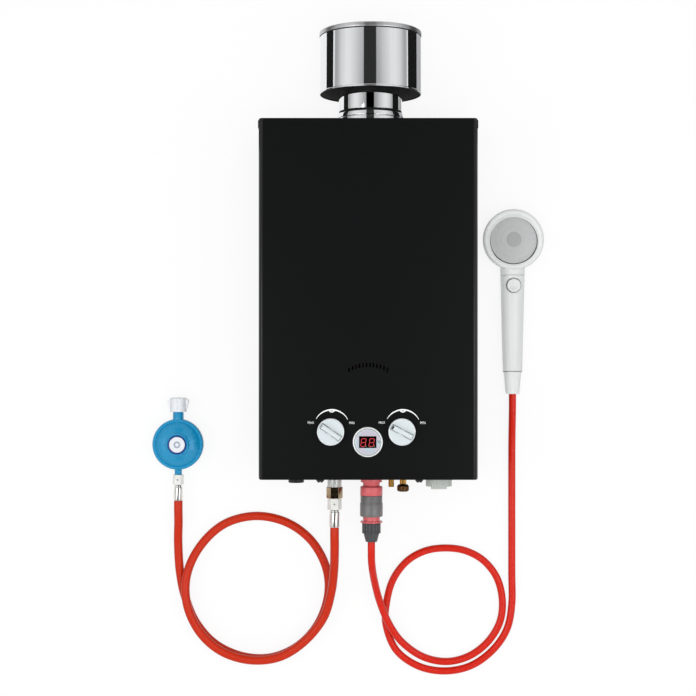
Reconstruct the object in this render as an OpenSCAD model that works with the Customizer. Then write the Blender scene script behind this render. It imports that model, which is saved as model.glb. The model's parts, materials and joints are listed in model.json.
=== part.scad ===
// Portable propane water heater, lying on its back with its gas hose, regulator,
// shower hose and handset laid out around it. Millimetres.
// +X is to the right of the front panel, +Y towards the exhaust, +Z out of the panel.
// The origin is the middle of the case's back.

/* [Case] */
// Width of the case
case_w = 283; // [272:1:300]
// Height of the case, along Y
case_h = 466; // [460:1:500]
// Depth of the case, from its back to the front panel
case_d = 125; // [122:1:135]
// Thickness of the sheet steel
sheet_t = 1.2; // [0.8:0.1:1.6]
// Radius of the front panel's long edges
edge_r = 6; // [4:0.5:8]
// Radius of the case's four corners, seen from the front
corner_r = 3; // [2:0.5:3.5]
// Depth of the cover's top lip
top_lip = 8; // [6:1:8]
// Depth of the cover's bottom lip
bottom_lip = 18; // [16:1:20]
// Width that the pressed ears add at each upper corner
ear_w = 1.3; // [0.8:0.1:2]
// Height of the pressed ears
ear_h = 11; // [8:1:14]
// Distance between the wall holes, across the case
wall_hole_dx = 220; // [200:1:240]
// Distance between the wall holes, along the case
wall_hole_dy = 420; // [400:1:430]
// Diameter of the wall holes
wall_hole_d = 6.5; // [4:0.5:8]

/* [Viewing slots] */
// Number of slots
slot_count = 12; // [8:1:14]
// Width of a slot
slot_w = 2; // [1.5:0.1:2.4]
// Height of a slot
slot_h = 6; // [4:0.5:8]
// Distance between two slots
slot_pitch = 4.5; // [4:0.1:5]
// Radius of the arc that the slots lie on
slot_arc_r = 50; // [45:1:80]
// Height of the highest slot over the case's foot
slot_up = 148; // [145:1:153]

/* [Exhaust] */
// Place of the flue across the case
flue_x = 3.7; // [0:0.1:6]
// Height of the flue's axis over the case's back
flue_z = 68.5; // [68.5:0.5:70]
// Outer diameter of the neck
neck_d = 84; // [78:1:86]
// Wall of the neck, the cap and the lid
flue_t = 0.8; // [0.6:0.1:1.2]
// Outer diameter of the collar where it meets the case
collar_d = 92; // [90:1:96]
// Height of the collar over the case
collar_h = 13.7; // [10:0.1:18]
// Outer diameter of the cap
cap_d = 134.5; // [125:0.5:150]
// Height of the cap's shell
cap_h = 76.3; // [60:0.1:90]
// Gap between the case and the cap's lower rim
cap_gap = 39.6; // [32:0.1:50]
// Height of the lid's rim
lid_h = 6.9; // [5:0.1:9]
// How far the neck reaches into the cap
neck_in_cap = 34; // [25:1:45]
// Number of struts between the neck and the cap
strut_count = 3; // [3:1:6]

/* [Controls] */
// Diameter of the gas and water knobs
knob_d = 34.8; // [30:0.1:38]
// Height of a knob's disc
knob_h = 9; // [7:0.5:12]
// Width of the grip bar on a knob
grip_w = 6; // [5:0.5:8]
// Height of the grip bar over the disc
grip_h = 8; // [5:0.5:10]
// Direction of the gas knob's pointer, in degrees from +X
gas_pointer = 145; // [30:1:150]
// Direction of the water knob's pointer, in degrees from +X
water_pointer = 152; // [30:1:152]
// Place of the gas knob across the case
gas_knob_x = -48.4; // [-52:0.1:-44]
// Place of the water knob across the case
water_knob_x = 43.1; // [40:0.1:48]
// Height of both knobs over the case's foot
knob_up = 62.1; // [58:0.1:66]
// Diameter of a spindle
spindle_d = 6; // [5:0.5:8]
// Diameter of the display's bezel
bezel_d = 38.8; // [34:0.1:42]
// Place of the display across the case
display_x = -0.7; // [-2:0.1:2]
// Height of the display over the case's foot
display_up = 48.8; // [45:0.1:53]
// Width of the display's window
window_w = 22.5; // [18:0.5:24]
// Height of the display's window
window_h = 15.3; // [12:0.1:17]

/* [Fittings] */
// Height of the fittings' axes over the case's back
fit_z = 65; // [62:0.5:70]
// Place of the gas inlet across the case
gas_x = -44; // [-46:0.5:-42]
// Place of the hot outlet across the case
outlet_x = 5; // [3:0.5:7]
// Place of the cold inlet across the case
cold_x = -95; // [-105:0.5:-85]
// Place of the relief tube across the case
relief_x = 31.4; // [28:0.1:33]
// Place of the drain valve across the case
drain_x = 47.1; // [45:0.1:50]
// Place of the battery cap across the case
battery_x = 94.7; // [90:0.1:98]
// Outer diameter of the half-inch pipe threads
half_inch_d = 20.9; // [20.5:0.1:21]
// Diameter of the cold inlet's flange
cold_flange_d = 29.4; // [26:0.1:34]
// Diameter of the battery cap
battery_cap_d = 34.6; // [34:0.1:38]
// Diameter of a battery cell
cell_d = 33.2; // [32.3:0.1:33.6]
// Length of a battery cell
cell_len = 61.5; // [59.5:0.5:61.5]
// Diameter of the drain knob
drain_knob_d = 16.1; // [14:0.1:18]

/* [Hose coupler] */
// Diameter of the coupler's red ring
ring_d = 29.8; // [28:0.1:32]
// Length of the coupler's red ring
ring_len = 12; // [8:0.5:14]
// Diameter of the release sleeve
sleeve_d = 30.3; // [29:0.1:34]
// Length of the release sleeve
sleeve_len = 28; // [20:0.5:29]
// Diameter of the coupler's core
core_d = 22.6; // [20:0.1:24]
// How far the sleeve slides back
sleeve_travel = 5; // [3:0.5:5.5]
// Diameter of the ribbed hose nut
hose_nut_d = 25; // [22:0.5:28]
// Number of ribs on the hose nut
hose_nut_ribs = 16; // [8:1:20]

/* [Hoses] */
// Diameter of the gas hose
gas_hose_d = 11.8; // [11:0.1:11.8]
// Diameter of the shower hose
shower_hose_d = 10; // [9:0.1:10]

/* [Regulator] */
// Diameter of the regulator's flange
reg_d = 69; // [64:0.5:72]
// Height of the regulator's stems over the surface
reg_z = 16; // [16:0.5:18]
// Diameter of the neck to the wing nut
reg_neck_d = 13.3; // [12:0.1:14]
// Diameter of the blank cap in the middle
reg_cap_d = 21.6; // [18:0.1:23]
// Diameter of the wing nut's hub
wing_hub_d = 22.4; // [21:0.1:24]
// Width over the wings
wing_span = 29; // [26:0.5:31]
// Radius of the wing nut's thread
bottle_thread_r = 8; // [7.5:0.1:8.5]

/* [Handset] */
// Place of the handset's axis across the layout
handset_x = 198.5; // [190:0.5:205]
// Height of the handle's axis over the surface
handset_z = 17; // [17:0.5:19]
// Diameter of the shower head
head_d = 82.3; // [76:0.1:90]
// Diameter of the spray face
face_d = 66; // [60:0.5:68]
// Height of the shower head
head_h = 34; // [32:0.5:38]
// Diameter of the handle at the head
handle_top_d = 33; // [28:0.5:33]
// Diameter of the handle at the hose
handle_end_d = 26.6; // [24:0.1:28]
// Diameter of the push button
button_d = 18.4; // [16:0.1:19]
// Travel of the push button
button_travel = 2; // [1:0.5:3]

/* [Combustion] */
// Width of the combustion chamber
chamber_w = 140; // [130:1:141]
// Depth of the combustion chamber
chamber_d = 84; // [78:1:84]
// Number of exchanger fins
fin_count = 20; // [12:1:24]
// Thickness of a fin
fin_t = 0.6; // [0.4:0.1:0.8]
// Number of tubes through the fins
tube_count = 5; // [5:2:5]
// Diameter of the water tubes
tube_d = 10; // [8:0.5:10]
// Number of burner bars
burner_count = 7; // [5:1:8]

/* [Hidden] */
$fn = 48;

// Clearances
seam = 0.3;          // between separate shells
hole_gap = 0.2;      // round a fixed pipe in its hole
run_gap = 0.06;      // round a turning shaft
part_gap = 0.3;      // between a moving piece and its neighbour

// Case
half_w = case_w / 2;
half_h = case_h / 2;
inner_y = half_h - sheet_t;          // inside of the cover's end lips
plate_y = inner_y - seam;            // outer face of the end plates
seat_y = plate_y - sheet_t;          // inner face of the end plates
front_in = case_d - sheet_t;         // inside of the front panel
plate_w = case_w - 2 * sheet_t - 2 * seam;
plate_front = front_in - seam;
end_plate_w = plate_w - 2 * (corner_r - sheet_t);
flange_h = 16;
flue_r = neck_d / 2;
screw_x = [-62.1, 66];
slot_y = -half_h + slot_up;
knob_y = -half_h + knob_up;
display_y = -half_h + display_up;
screw_z = case_d - 10;
screw_head_r = 5.2;

// Exhaust
collar_top = half_h + collar_h;
rim_y = half_h + cap_gap;
cap_top = rim_y + cap_h;
neck_top = rim_y + neck_in_cap;
hood_top = plate_y - 6;
groove_depth = 1.6;                  // of the groove rolled in the neck over the collar

// Combustion
chamber_z0 = flue_z - chamber_d / 2;
chamber_z1 = flue_z + chamber_d / 2;
chamber_x0 = flue_x - chamber_w / 2;
chamber_x1 = flue_x + chamber_w / 2;
exchanger_h = 50;
hood_room = 73;                      // from the exchanger to the case's top
chamber_y0 = slot_y - 10;
chamber_y1 = half_h - hood_room - exchanger_h;
exchanger_y = chamber_y1 + exchanger_h / 2;
exchanger_top = chamber_y1 + exchanger_h;
tube_r = tube_d / 2;
tube_pitch = 15.6;
burner_h = 35;
burner_top = chamber_y0 - 1;
burner_bottom = burner_top - burner_h;
manifold_h = 12;
manifold_y = burner_bottom - manifold_h;

// Valves
valve_w = 44;
port_len = 26;
cold_port_x = 60.5;
cold_run_y = -half_h + 28;
cold_run_z = 38;
hot_run_x = -90;
hot_run_y = -half_h + 81;
hot_run_z = 15;
hot_rise_y = -half_h + 45;
inlet_h = 5;
outlet_h = 6;
gas_valve_top = manifold_y;
gas_valve_bottom = knob_y - 20;
gas_valve_z0 = fit_z - 20;
gas_valve_z1 = case_d - 25;
gas_valve_x1 = gas_knob_x + valve_w / 2;
water_valve_r = 24;
valve_cover_reach = 31;
valve_body_reach = 23;
water_valve_x0 = water_knob_x - valve_cover_reach;
water_valve_x1 = water_knob_x + valve_body_reach;
spindle_depth = 24;                  // of a spindle's bore below its valve's top
diaphragm_t = 2;
rod_r = 2.5;
rod_travel = 3;
spindle_r = spindle_d / 2;
knob_z = case_d + 1;

// Fittings under the case
pipe_r = 6.2;
ring_y = -half_h - 14.9;             // lower face of the gas inlet's ring
union_y = ring_y - 14.8;             // lower face of the union nut
swivel_y = union_y - 15.4;           // lower face of the swivel nut
ferrule_top = swivel_y - 0.9;
hose_exit_y = -302;                  // where the gas hose leaves its ferrule
half_inch_r = half_inch_d / 2;
cell_bottom = -half_h + 6;           // where the cells rest on the cap's plug
cell_top = cell_bottom + 2 * cell_len;
box_r = cell_d / 2 + 0.5;
box_half = 20;                       // half of the battery box's width and depth
box_flange = [26, 24];               // half of its flange's width and depth
drain_y = -half_h - 11.3;

// Hose coupler
adapter_y = -half_h - 8.5;           // foot of the adapter's cup
coupler_top = adapter_y - 5.5;
sleeve_top = coupler_top - ring_len;
foot_y = sleeve_top - sleeve_len - sleeve_travel - part_gap - 1;
nut_top = foot_y - 2;
nut_end = -320.7;
nut_grip = 13;                       // length of the nut's ribbed part
nut_rib_r = 1.6;
shower_exit_y = -321;                // where the shower hose leaves its nut

// Handset
cone_end_y = -126;
cone_top_y = -97;
handle_end_y = -94.5;
handle_top_y = 36;
head_y = 84;
button_y = 21.5;

// Regulator
reg_x = -258;
reg_y = -194.5;
reg_nut_y0 = -249.6;
reg_exit_y = -272;

// The gas hose's route: out of its ferrule, down to the surface, one and a half
// turns clockwise, and up to the regulator. The first turn lies on the second.
gas_route = [
    [-44, -302, 65], [-44, -315, 65], [-44, -334, 60], [-45, -362, 43], [-49, -396, 26],
    [-60, -432, 19], [-86, -464, 18.4], [-120, -485, 18.4], [-160, -489, 18.4], [-199, -477, 18.4],
    [-229, -450, 18.4], [-246, -412, 18.4], [-246, -372, 16], [-228, -334, 10], [-196, -305, 6],
    [-154, -294, 6], [-112, -302, 6], [-78, -326, 6], [-57, -362, 6], [-53, -400, 6],
    [-66, -440, 6], [-93, -471, 6], [-130, -488, 6], [-170, -487, 6], [-208, -470, 6],
    [-235, -440, 6], [-250, -404, 6], [-257, -369, 6], [-259, -331, 9], [-258, -302, 14],
    [-258, -285, 16], [-258, -272, 16]];

// The shower hose's route: out of the coupler, down to the surface, one and a half
// turns anticlockwise, and up to the handset. The second turn lies outside the first.
shower_route = [
    [5, -321, 65], [5, -332, 65], [5.5, -350, 60], [9, -375, 42], [17, -408, 23], [30, -440, 17],
    [48, -466, 12], [76, -487, 5.2], [108, -494, 5.2], [139, -487, 5.2], [165, -468, 5.2],
    [182, -441, 5.2], [186, -411, 5.2], [179, -380, 5.2], [161, -356, 5.2], [136, -342, 5.2],
    [108, -338, 5.2], [80, -342, 5.2], [55, -356, 5.2], [36, -381, 5.2], [27, -412, 5.2],
    [26, -443, 5.2], [40, -478, 5.2], [70, -500, 5.2], [106, -507, 5.2], [142, -500, 5.2],
    [172, -479, 5.2], [192, -450, 5.2], [199, -415, 5.2], [199, -370, 5.2], [199, -310, 5.2],
    [199, -250, 5.2], [198.8, -195, 8], [198.5, -155, 15.5], [198.5, -138, 17],
    [198.5, -126, 17]];
route_rings = 64;
hose_sides = 10;

// ---------------------------------------------------------------- helpers

// A cylinder along Y, from y0 up to y1
module rod_y(x, z, y0, y1, r) {
    translate([x, y0, z]) rotate([-90, 0, 0]) cylinder(h = y1 - y0, r = r);
}

// A cone along Y, of radius r0 at y0 and r1 at y1
module cone_y(x, z, y0, y1, r0, r1) {
    translate([x, y0, z]) rotate([-90, 0, 0]) cylinder(h = y1 - y0, r1 = r0, r2 = r1);
}

// A hexagon along Y, across its flats
module hex_y(x, z, y0, y1, flats) {
    translate([x, y0, z]) rotate([-90, 0, 0]) cylinder(h = y1 - y0, r = flats / sqrt(3), $fn = 6);
}

// A profile of [radius, height] points turned about an axis along Y
module turned_y(x, z, y, profile) {
    translate([x, y, z]) rotate([-90, 0, 0]) rotate_extrude() polygon(profile);
}

// A box between two corners
module block(low, high) {
    translate(low) cube(high - low);
}

// A pipe through the points of a path
module pipe(path, r) {
    for (i = [0 : len(path) - 2]) {
        run = path[i + 1] - path[i];
        translate(path[i])
            rotate([0, acos(run.z / norm(run)), atan2(run.y, run.x)])
            cylinder(h = norm(run), r = r);
    }
    if (len(path) > 2)
        for (i = [1 : len(path) - 2]) translate(path[i]) sphere(r = r);
}

// A point on the smooth curve through a route's points, u counted in points
function route_point(route, u) =
    let (last = len(route) - 1, i = min(floor(u), last - 1), t = u - i,
         a = route[max(i - 1, 0)], b = route[i], c = route[i + 1], d = route[min(i + 2, last)])
    0.5 * ((2 * b) + (c - a) * t + (2 * a - 5 * b + 4 * c - d) * t * t
        + (3 * b - a - 3 * c + d) * t * t * t);

function unit(v) = v / norm(v);

// The direction of a list of points at one of them; square to Y at both ends
function heading(points, i) =
    (i == 0) ? unit(points[1] - points[0])
    : (i == len(points) - 1) ? unit(points[i] - points[i - 1])
    : unit(points[i + 1] - points[i - 1]);

// The least gap between a hose and itself, leaving out the stretches next to each other
function least_gap(route, d, count = 240) =
    let (last = len(route) - 1, apart = 14,
         line = [for (k = [0 : count]) route_point(route, k * last / count)])
    min([for (i = [0 : count - apart], j = [i + apart : count]) norm(line[i] - line[j])]) - d;

// A round tube along a route
module tube(route, r, rings, sides) {
    last = len(route) - 1;
    centres = [for (k = [0 : rings - 1]) route_point(route, k * last / (rings - 1))];
    across = [for (k = [0 : rings - 1])
        unit(cross(k == 0 || k == rings - 1 ? [0, sign(heading(centres, k).y), 0]
            : heading(centres, k), [0, 0, 1]))];
    rise = [for (k = [0 : rings - 1])
        unit(cross(across[k], k == 0 || k == rings - 1 ? [0, sign(heading(centres, k).y), 0]
            : heading(centres, k)))];
    skin = [for (k = [0 : rings - 1], s = [0 : sides - 1])
        let (a = 360 * (s + 0.5) / sides)
        centres[k] + r * cos(a) * across[k] + r * sin(a) * rise[k]];
    walls = [for (k = [0 : rings - 2], s = [0 : sides - 1])
        let (p = k * sides + s, q = k * sides + (s + 1) % sides)
        each [[p, q, p + sides], [q, q + sides, p + sides]]];
    start = [for (s = [1 : sides - 2]) [0, s + 1, s]];
    base = (rings - 1) * sides;
    end = [for (s = [1 : sides - 2]) [base, base + s, base + s + 1]];
    polyhedron(points = skin, faces = concat(walls, start, end));
}

// ---------------------------------------------------------------- case

// The cover's section across the case, with rounded front edges
module cover_section(w, d, r) {
    translate([-w / 2, 0]) square([w, d - r]);
    translate([-w / 2 + r, 0]) square([w - 2 * r, d]);
    for (side = [-1, 1]) translate([side * (w / 2 - r), d - r]) circle(r = r);
}

// A solid rectangle with rounded corners, seen from the front
module rounded_rect(w, h, r) {
    square([w - 2 * r, h], center = true);
    square([w, h - 2 * r], center = true);
    for (x = [-1, 1], y = [-1, 1]) translate([x * (w / 2 - r), y * (h / 2 - r)]) circle(r = r);
}

module along_case(h) {
    translate([0, h / 2, 0]) rotate([90, 0, 0]) linear_extrude(h) children();
}

module slot_holes() {
    for (i = [0 : slot_count - 1]) {
        x = (i - (slot_count - 1) / 2) * slot_pitch;
        y = slot_y - slot_arc_r + sqrt(slot_arc_r * slot_arc_r - x * x);
        translate([x, y - slot_h / 2, case_d - 2 * sheet_t]) {
            translate([-slot_w / 2, slot_w / 2, 0]) cube([slot_w, slot_h - slot_w, 4 * sheet_t]);
            for (end = [slot_w / 2, slot_h - slot_w / 2])
                translate([0, end, 0]) cylinder(h = 4 * sheet_t, d = slot_w);
        }
    }
}

module front_cover() color([0.13, 0.13, 0.135]) difference() {
    union() {
        intersection() {
            along_case(case_h) cover_section(case_w, case_d, edge_r);
            linear_extrude(case_d) rounded_rect(case_w, case_h, corner_r);
        }
        for (side = [-1, 1])
            translate([side * (half_w - 1 + (1 + ear_w) / 2), half_h - (ear_h + 1) / 2,
                case_d / 2 - 1])
                cube([1 + ear_w, ear_h - 1, case_d - 22], center = true);
    }
    intersection() {
        translate([0, 0, -1]) along_case(case_h - 2 * sheet_t)
            cover_section(case_w - 2 * sheet_t, front_in + 1, edge_r - sheet_t);
        translate([0, 0, -1]) linear_extrude(case_d)
            rounded_rect(case_w - 2 * sheet_t, case_h - 2 * sheet_t, corner_r - sheet_t);
    }
    translate([0, inner_y, (case_d - top_lip) / 2 - 1])
        cube([case_w - 4 * sheet_t, 4 * sheet_t, case_d - top_lip + 2], center = true);
    translate([0, -inner_y, (case_d - bottom_lip) / 2 - 1])
        cube([case_w - 4 * sheet_t, 4 * sheet_t, case_d - bottom_lip + 2], center = true);
    for (x = [gas_knob_x, water_knob_x]) translate([x, knob_y, front_in - 1])
        cylinder(h = 3 * sheet_t, r = spindle_r + 2);
    translate([display_x, display_y, front_in - 1])
        cylinder(h = 3 * sheet_t, r = bezel_d / 2 - 3 + hole_gap);
    for (x = screw_x) rod_y(x, screw_z, -half_h - 1, -inner_y + 1, 2.2);
    slot_holes();
}

module back_plate() color([0.2, 0.2, 0.21]) difference() {
    union() {
        block([-plate_w / 2, -seat_y, 0], [plate_w / 2, seat_y, sheet_t]);
        for (side = [-1, 1])
            translate([side * (plate_w / 2 - sheet_t / 2), 0, flange_h / 2])
                cube([sheet_t, 2 * seat_y, flange_h], center = true);
    }
    for (x = [-0.5, 0.5], y = [-0.5, 0.5])
        translate([x * wall_hole_dx, y * wall_hole_dy, -1])
            cylinder(h = 4 * sheet_t, d = wall_hole_d);
    for (i = [-3 : 3], side = [-1, 1])
        translate([i * 22 - 8, side * 60 - 2, -1]) cube([16, 4, 4 * sheet_t]);
}

module bottom_plate() color([0.16, 0.16, 0.165]) difference() {
    union() {
        block([-end_plate_w / 2, -plate_y, 0], [end_plate_w / 2, -seat_y, plate_front - edge_r]);
        block([-plate_w / 2 + edge_r, -plate_y, plate_front - edge_r - 1],
            [plate_w / 2 - edge_r, -seat_y, plate_front]);
    }
    rod_y(gas_x, fit_z, -half_h, -seat_y + 1, pipe_r + hole_gap);
    rod_y(cold_x, fit_z, -half_h, -seat_y + 1, half_inch_r + hole_gap);
    rod_y(outlet_x, fit_z, -half_h, -seat_y + 1, half_inch_r + hole_gap);
    rod_y(relief_x, fit_z, -half_h, -seat_y + 1, 3.75 + hole_gap);
    rod_y(drain_x, fit_z, -half_h, -seat_y + 1, 4.45 + hole_gap);
    rod_y(battery_x, fit_z, -half_h, -seat_y + 1, battery_cap_d / 2 + 0.5);
    for (x = screw_x) rod_y(x, screw_z, -half_h, -seat_y + 1, 2);
    for (i = [0 : 7]) block([-60 + i * 16, -half_h, 14], [-50 + i * 16, -seat_y + 1, 20]);
}

module top_plate() color([0.16, 0.16, 0.165]) difference() {
    union() {
        block([-end_plate_w / 2, seat_y, 0], [end_plate_w / 2, plate_y, plate_front - edge_r]);
        block([-plate_w / 2 + edge_r, seat_y, plate_front - edge_r - 1],
            [plate_w / 2 - edge_r, plate_y, plate_front]);
    }
    rod_y(flue_x, flue_z, seat_y - 1, half_h, flue_r + hole_gap);
}

module cover_screws() color([0.1, 0.1, 0.1])
    for (x = screw_x) difference() {
        union() {
            rod_y(x, screw_z, -half_h, -seat_y + 3, 2);
            rod_y(x, screw_z, -half_h - 1.6, -half_h, screw_head_r);
            cone_y(x, screw_z, -half_h - 4.2, -half_h - 1.6, screw_head_r - 2, screw_head_r);
        }
        block([x - 4, -half_h - 5, screw_z - 0.6], [x + 4, -half_h - 3, screw_z + 0.6]);
        block([x - 0.6, -half_h - 5, screw_z - 4], [x + 0.6, -half_h - 3, screw_z + 4]);
    }

// ---------------------------------------------------------------- exhaust

// A spun collar: a flange on the top plate, a flared skirt and a stepped rim
module flue_collar() color([0.78, 0.78, 0.8]) {
    top = collar_top - plate_y;
    turned_y(flue_x, flue_z, plate_y, [
        [flue_r + hole_gap, 0], [collar_d / 2 + 1.5, 0], [collar_d / 2 + 1.5, 1.2],
        [collar_d / 2, 2.6], [flue_r + 3.2, top - 7.6], [flue_r + 2.4, top - 7],
        [flue_r + 2.8, top - 6], [flue_r + 1.8, top - 1], [flue_r + 1.2, top],
        [flue_r + hole_gap, top]]);
}

module exhaust_neck() color([0.78, 0.78, 0.8]) {
    groove = collar_top - hood_top;
    inside = flue_r - flue_t;
    turned_y(flue_x, flue_z, hood_top, [
        [inside, 0], [flue_r, 0], [flue_r, groove], [flue_r - groove_depth, groove + 0.6],
        [flue_r - groove_depth, groove + 2.2], [flue_r, groove + 2.8], [flue_r, neck_top - hood_top],
        [inside, neck_top - hood_top], [inside, groove + 3.2], [inside - groove_depth, groove + 2.5],
        [inside - groove_depth, groove + 0.3], [inside, groove - 0.4]]);
    cap_struts();
}

module cap_shell() color([0.8, 0.8, 0.82])
    turned_y(flue_x, flue_z, rim_y, [
        [cap_d / 2 - flue_t, 1.6], [cap_d / 2 - 0.4, 0], [cap_d / 2 + 0.5, 0.4],
        [cap_d / 2 + 0.5, 1.4], [cap_d / 2, 2], [cap_d / 2, cap_h], [cap_d / 2 - flue_t, cap_h]]);

module cap_lid() color([0.8, 0.8, 0.82])
    turned_y(flue_x, flue_z, cap_top, [
        [0, lid_h - 2], [cap_d / 2 - 7, lid_h - 3], [cap_d / 2 - 2 * flue_t, lid_h - 3],
        [cap_d / 2 - 2 * flue_t, -3], [cap_d / 2 - flue_t, -3], [cap_d / 2 - flue_t, 0],
        [cap_d / 2, 0], [cap_d / 2 + 0.5, 1], [cap_d / 2 + 0.5, lid_h - 1],
        [cap_d / 2 - 1, lid_h], [cap_d / 2 - 6, lid_h - 1], [0, lid_h]]);

// Bent straps that hold the cap on the neck
module cap_struts()
    translate([flue_x, neck_top - 14, flue_z]) rotate([-90, 0, 0])
        for (i = [0 : strut_count - 1]) rotate([0, 0, 90 + i * 360 / strut_count])
            difference() {
                intersection() {
                    translate([flue_r, -6, 0]) cube([cap_d / 2 - flue_r, 12, 10]);
                    cylinder(h = 10, r = cap_d / 2 - flue_t);
                }
                translate([0, 0, -1]) cylinder(h = 12, r = flue_r);
                translate([flue_r + 3, -7, 1.2]) cube([cap_d / 2 - flue_r - 7, 14, 10]);
            }

// The hood's outside, or its inside when inset by the sheet and longer at both ends
module hood_form(inset, longer) {
    hull() {
        block([chamber_x0 + inset, exchanger_top - longer, chamber_z0 + inset],
            [chamber_x1 - inset, exchanger_top + 0.5, chamber_z1 - inset]);
        translate([flue_x, hood_top - 0.5, flue_z]) rotate([-90, 0, 0])
            cylinder(h = 0.5 + longer, r = flue_r - inset, $fn = 32);
    }
}

module flue_hood() color([0.62, 0.6, 0.55]) difference() {
    hood_form(0, 0);
    hood_form(1, 0.2);
}

// ---------------------------------------------------------------- combustion

// A sheet box open at both ends along Y
module duct(y0, y1, t) {
    difference() {
        block([chamber_x0, y0, chamber_z0], [chamber_x1, y1, chamber_z1]);
        block([chamber_x0 + t, y0 - 1, chamber_z0 + t], [chamber_x1 - t, y1 + 1, chamber_z1 - t]);
        children();
    }
}

module combustion_chamber() color([0.72, 0.45, 0.3]) {
    duct(chamber_y0, chamber_y1, 1) {
        block([-27, slot_y - 9, chamber_z1 - 2], [27, slot_y + 5, chamber_z1 + 1]);
        for (x = electrode_x) translate([x, slot_y - 4, chamber_z1 - 2]) cylinder(h = 4, r = 3);
    }
    for (x = [chamber_x0 + 6, chamber_x1 - 16], y = [chamber_y0 + 4, chamber_y1 - 14])
        block([x, y, sheet_t], [x + 10, y + 10, chamber_z0]);
}

module exchanger_shell() color([0.75, 0.48, 0.32])
    duct(chamber_y1, exchanger_top, 1)
        for (i = [0 : tube_count - 1])
            translate([chamber_x0 - 1, exchanger_y, tube_z(i)]) rotate([0, 90, 0])
                cylinder(h = chamber_w + 2, r = tube_r);

function tube_z(i) = flue_z + (i - (tube_count - 1) / 2) * tube_pitch;

module exchanger_fins() color([0.78, 0.5, 0.34])
    for (i = [0 : fin_count - 1])
        difference() {
            translate([chamber_x0 + 6 + i * (chamber_w - 12 - fin_t) / (fin_count - 1),
                chamber_y1 + 2, chamber_z0 + 1]) cube([fin_t, exchanger_h - 4, chamber_d - 2]);
            for (k = [0 : tube_count - 1])
                translate([chamber_x0 - 1, exchanger_y, tube_z(k)]) rotate([0, 90, 0])
                    cylinder(h = chamber_w + 2, r = tube_r);
        }

coil_x0 = chamber_x0 - tube_r - 0.5;
coil_x1 = chamber_x1 + tube_r + 0.5;
coil_z0 = chamber_z0 - tube_r - 0.5;
coil_z1 = chamber_z1 + tube_r + 0.5;

module exchanger_tubes() color([0.76, 0.46, 0.3])
    pipe([for (i = [0 : tube_count - 1], end = [0, 1])
        [(i + end) % 2 == 0 ? coil_x1 : coil_x0, exchanger_y, tube_z(i)]], tube_r);

// The coil climbs round the chamber, one step for each turn
coil_turns = 2;
coil_start = chamber_y0 + 55;
coil_end = chamber_y1 - 30;
coil_pitch = (coil_end - coil_start) / coil_turns;
feed_z = 22;
feed_x = water_knob_x + 9;

function coil_turn(y) = [[coil_x1, y, coil_z1], [coil_x0, y, coil_z1], [coil_x0, y, coil_z0],
    [coil_x0, y + coil_pitch, coil_z0], [coil_x1, y + coil_pitch, coil_z0]];

coil_path = concat(
    [[feed_x, knob_y, fit_z + 2 - water_valve_r], [feed_x, knob_y, feed_z],
     [coil_x1, knob_y, feed_z], [coil_x1, coil_start, feed_z]],
    [for (i = [0 : coil_turns - 1]) each coil_turn(coil_start + i * coil_pitch)],
    [[coil_x1, exchanger_y, coil_z0], [coil_x1, exchanger_y, tube_z(0) - tube_r - hole_gap]]);

module water_coil() color([0.76, 0.46, 0.3]) pipe(coil_path, tube_r);

// A cylinder along X, from x0 to x1
module rod_x(y, z, x0, x1, r) {
    translate([x0, y, z]) rotate([0, 90, 0]) cylinder(h = x1 - x0, r = r);
}

burner_pitch = (chamber_w - 16) / burner_count;

module burner_bars() color([0.6, 0.6, 0.58])
    for (i = [0 : burner_count - 1]) {
        x = chamber_x0 + 8 + (i + 0.5) * burner_pitch;
        difference() {
            union() {
                block([x - 5, burner_bottom + 10, chamber_z0 + 2], [x + 5, burner_top, chamber_z1 - 2]);
                block([x - 3, burner_bottom, chamber_z0 + 14], [x + 3, burner_bottom + 11, chamber_z1 - 14]);
            }
            for (k = [0 : 9])
                block([x - 3.5, burner_top - 3, chamber_z0 + 7 + k * 7],
                    [x + 3.5, burner_top + 1, chamber_z0 + 9 + k * 7]);
        }
    }

module gas_manifold() color([0.72, 0.72, 0.74]) {
    block([chamber_x0 + 4, manifold_y, flue_z - 12], [chamber_x1 - 4, burner_bottom, flue_z + 12]);
    for (x = [chamber_x0 + 10, chamber_x1 - 22])
        block([x, manifold_y + 1, sheet_t], [x + 12, burner_bottom - 1, flue_z - 12]);
}

electrode_x = [chamber_x1 - 21.7, chamber_x1 - 7.7];

module electrodes() color([0.92, 0.9, 0.85])
    for (x = electrode_x) {
        translate([x, slot_y - 4, chamber_z1 - 12]) cylinder(h = 22, r = 3);
        translate([x, slot_y - 4, chamber_z1 - 24]) cylinder(h = 12.5, r = 1);
    }

ignition_box_y = slot_y + 15;
ignition_box_size = [30, 70, 30];
ignition_box_x = -half_w + 6;

module ignition_box() color([0.15, 0.15, 0.16]) difference() {
    block([ignition_box_x, ignition_box_y, sheet_t],
        [ignition_box_x + ignition_box_size.x, ignition_box_y + ignition_box_size.y, ignition_box_size.z]);
    for (i = [0 : 2])
        translate([ignition_box_x + ignition_box_size.x / 2, ignition_box_y + 10 + i * 15,
            ignition_box_size.z - 4]) cylinder(h = 5, r = 3);
}

// ---------------------------------------------------------------- valves

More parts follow.
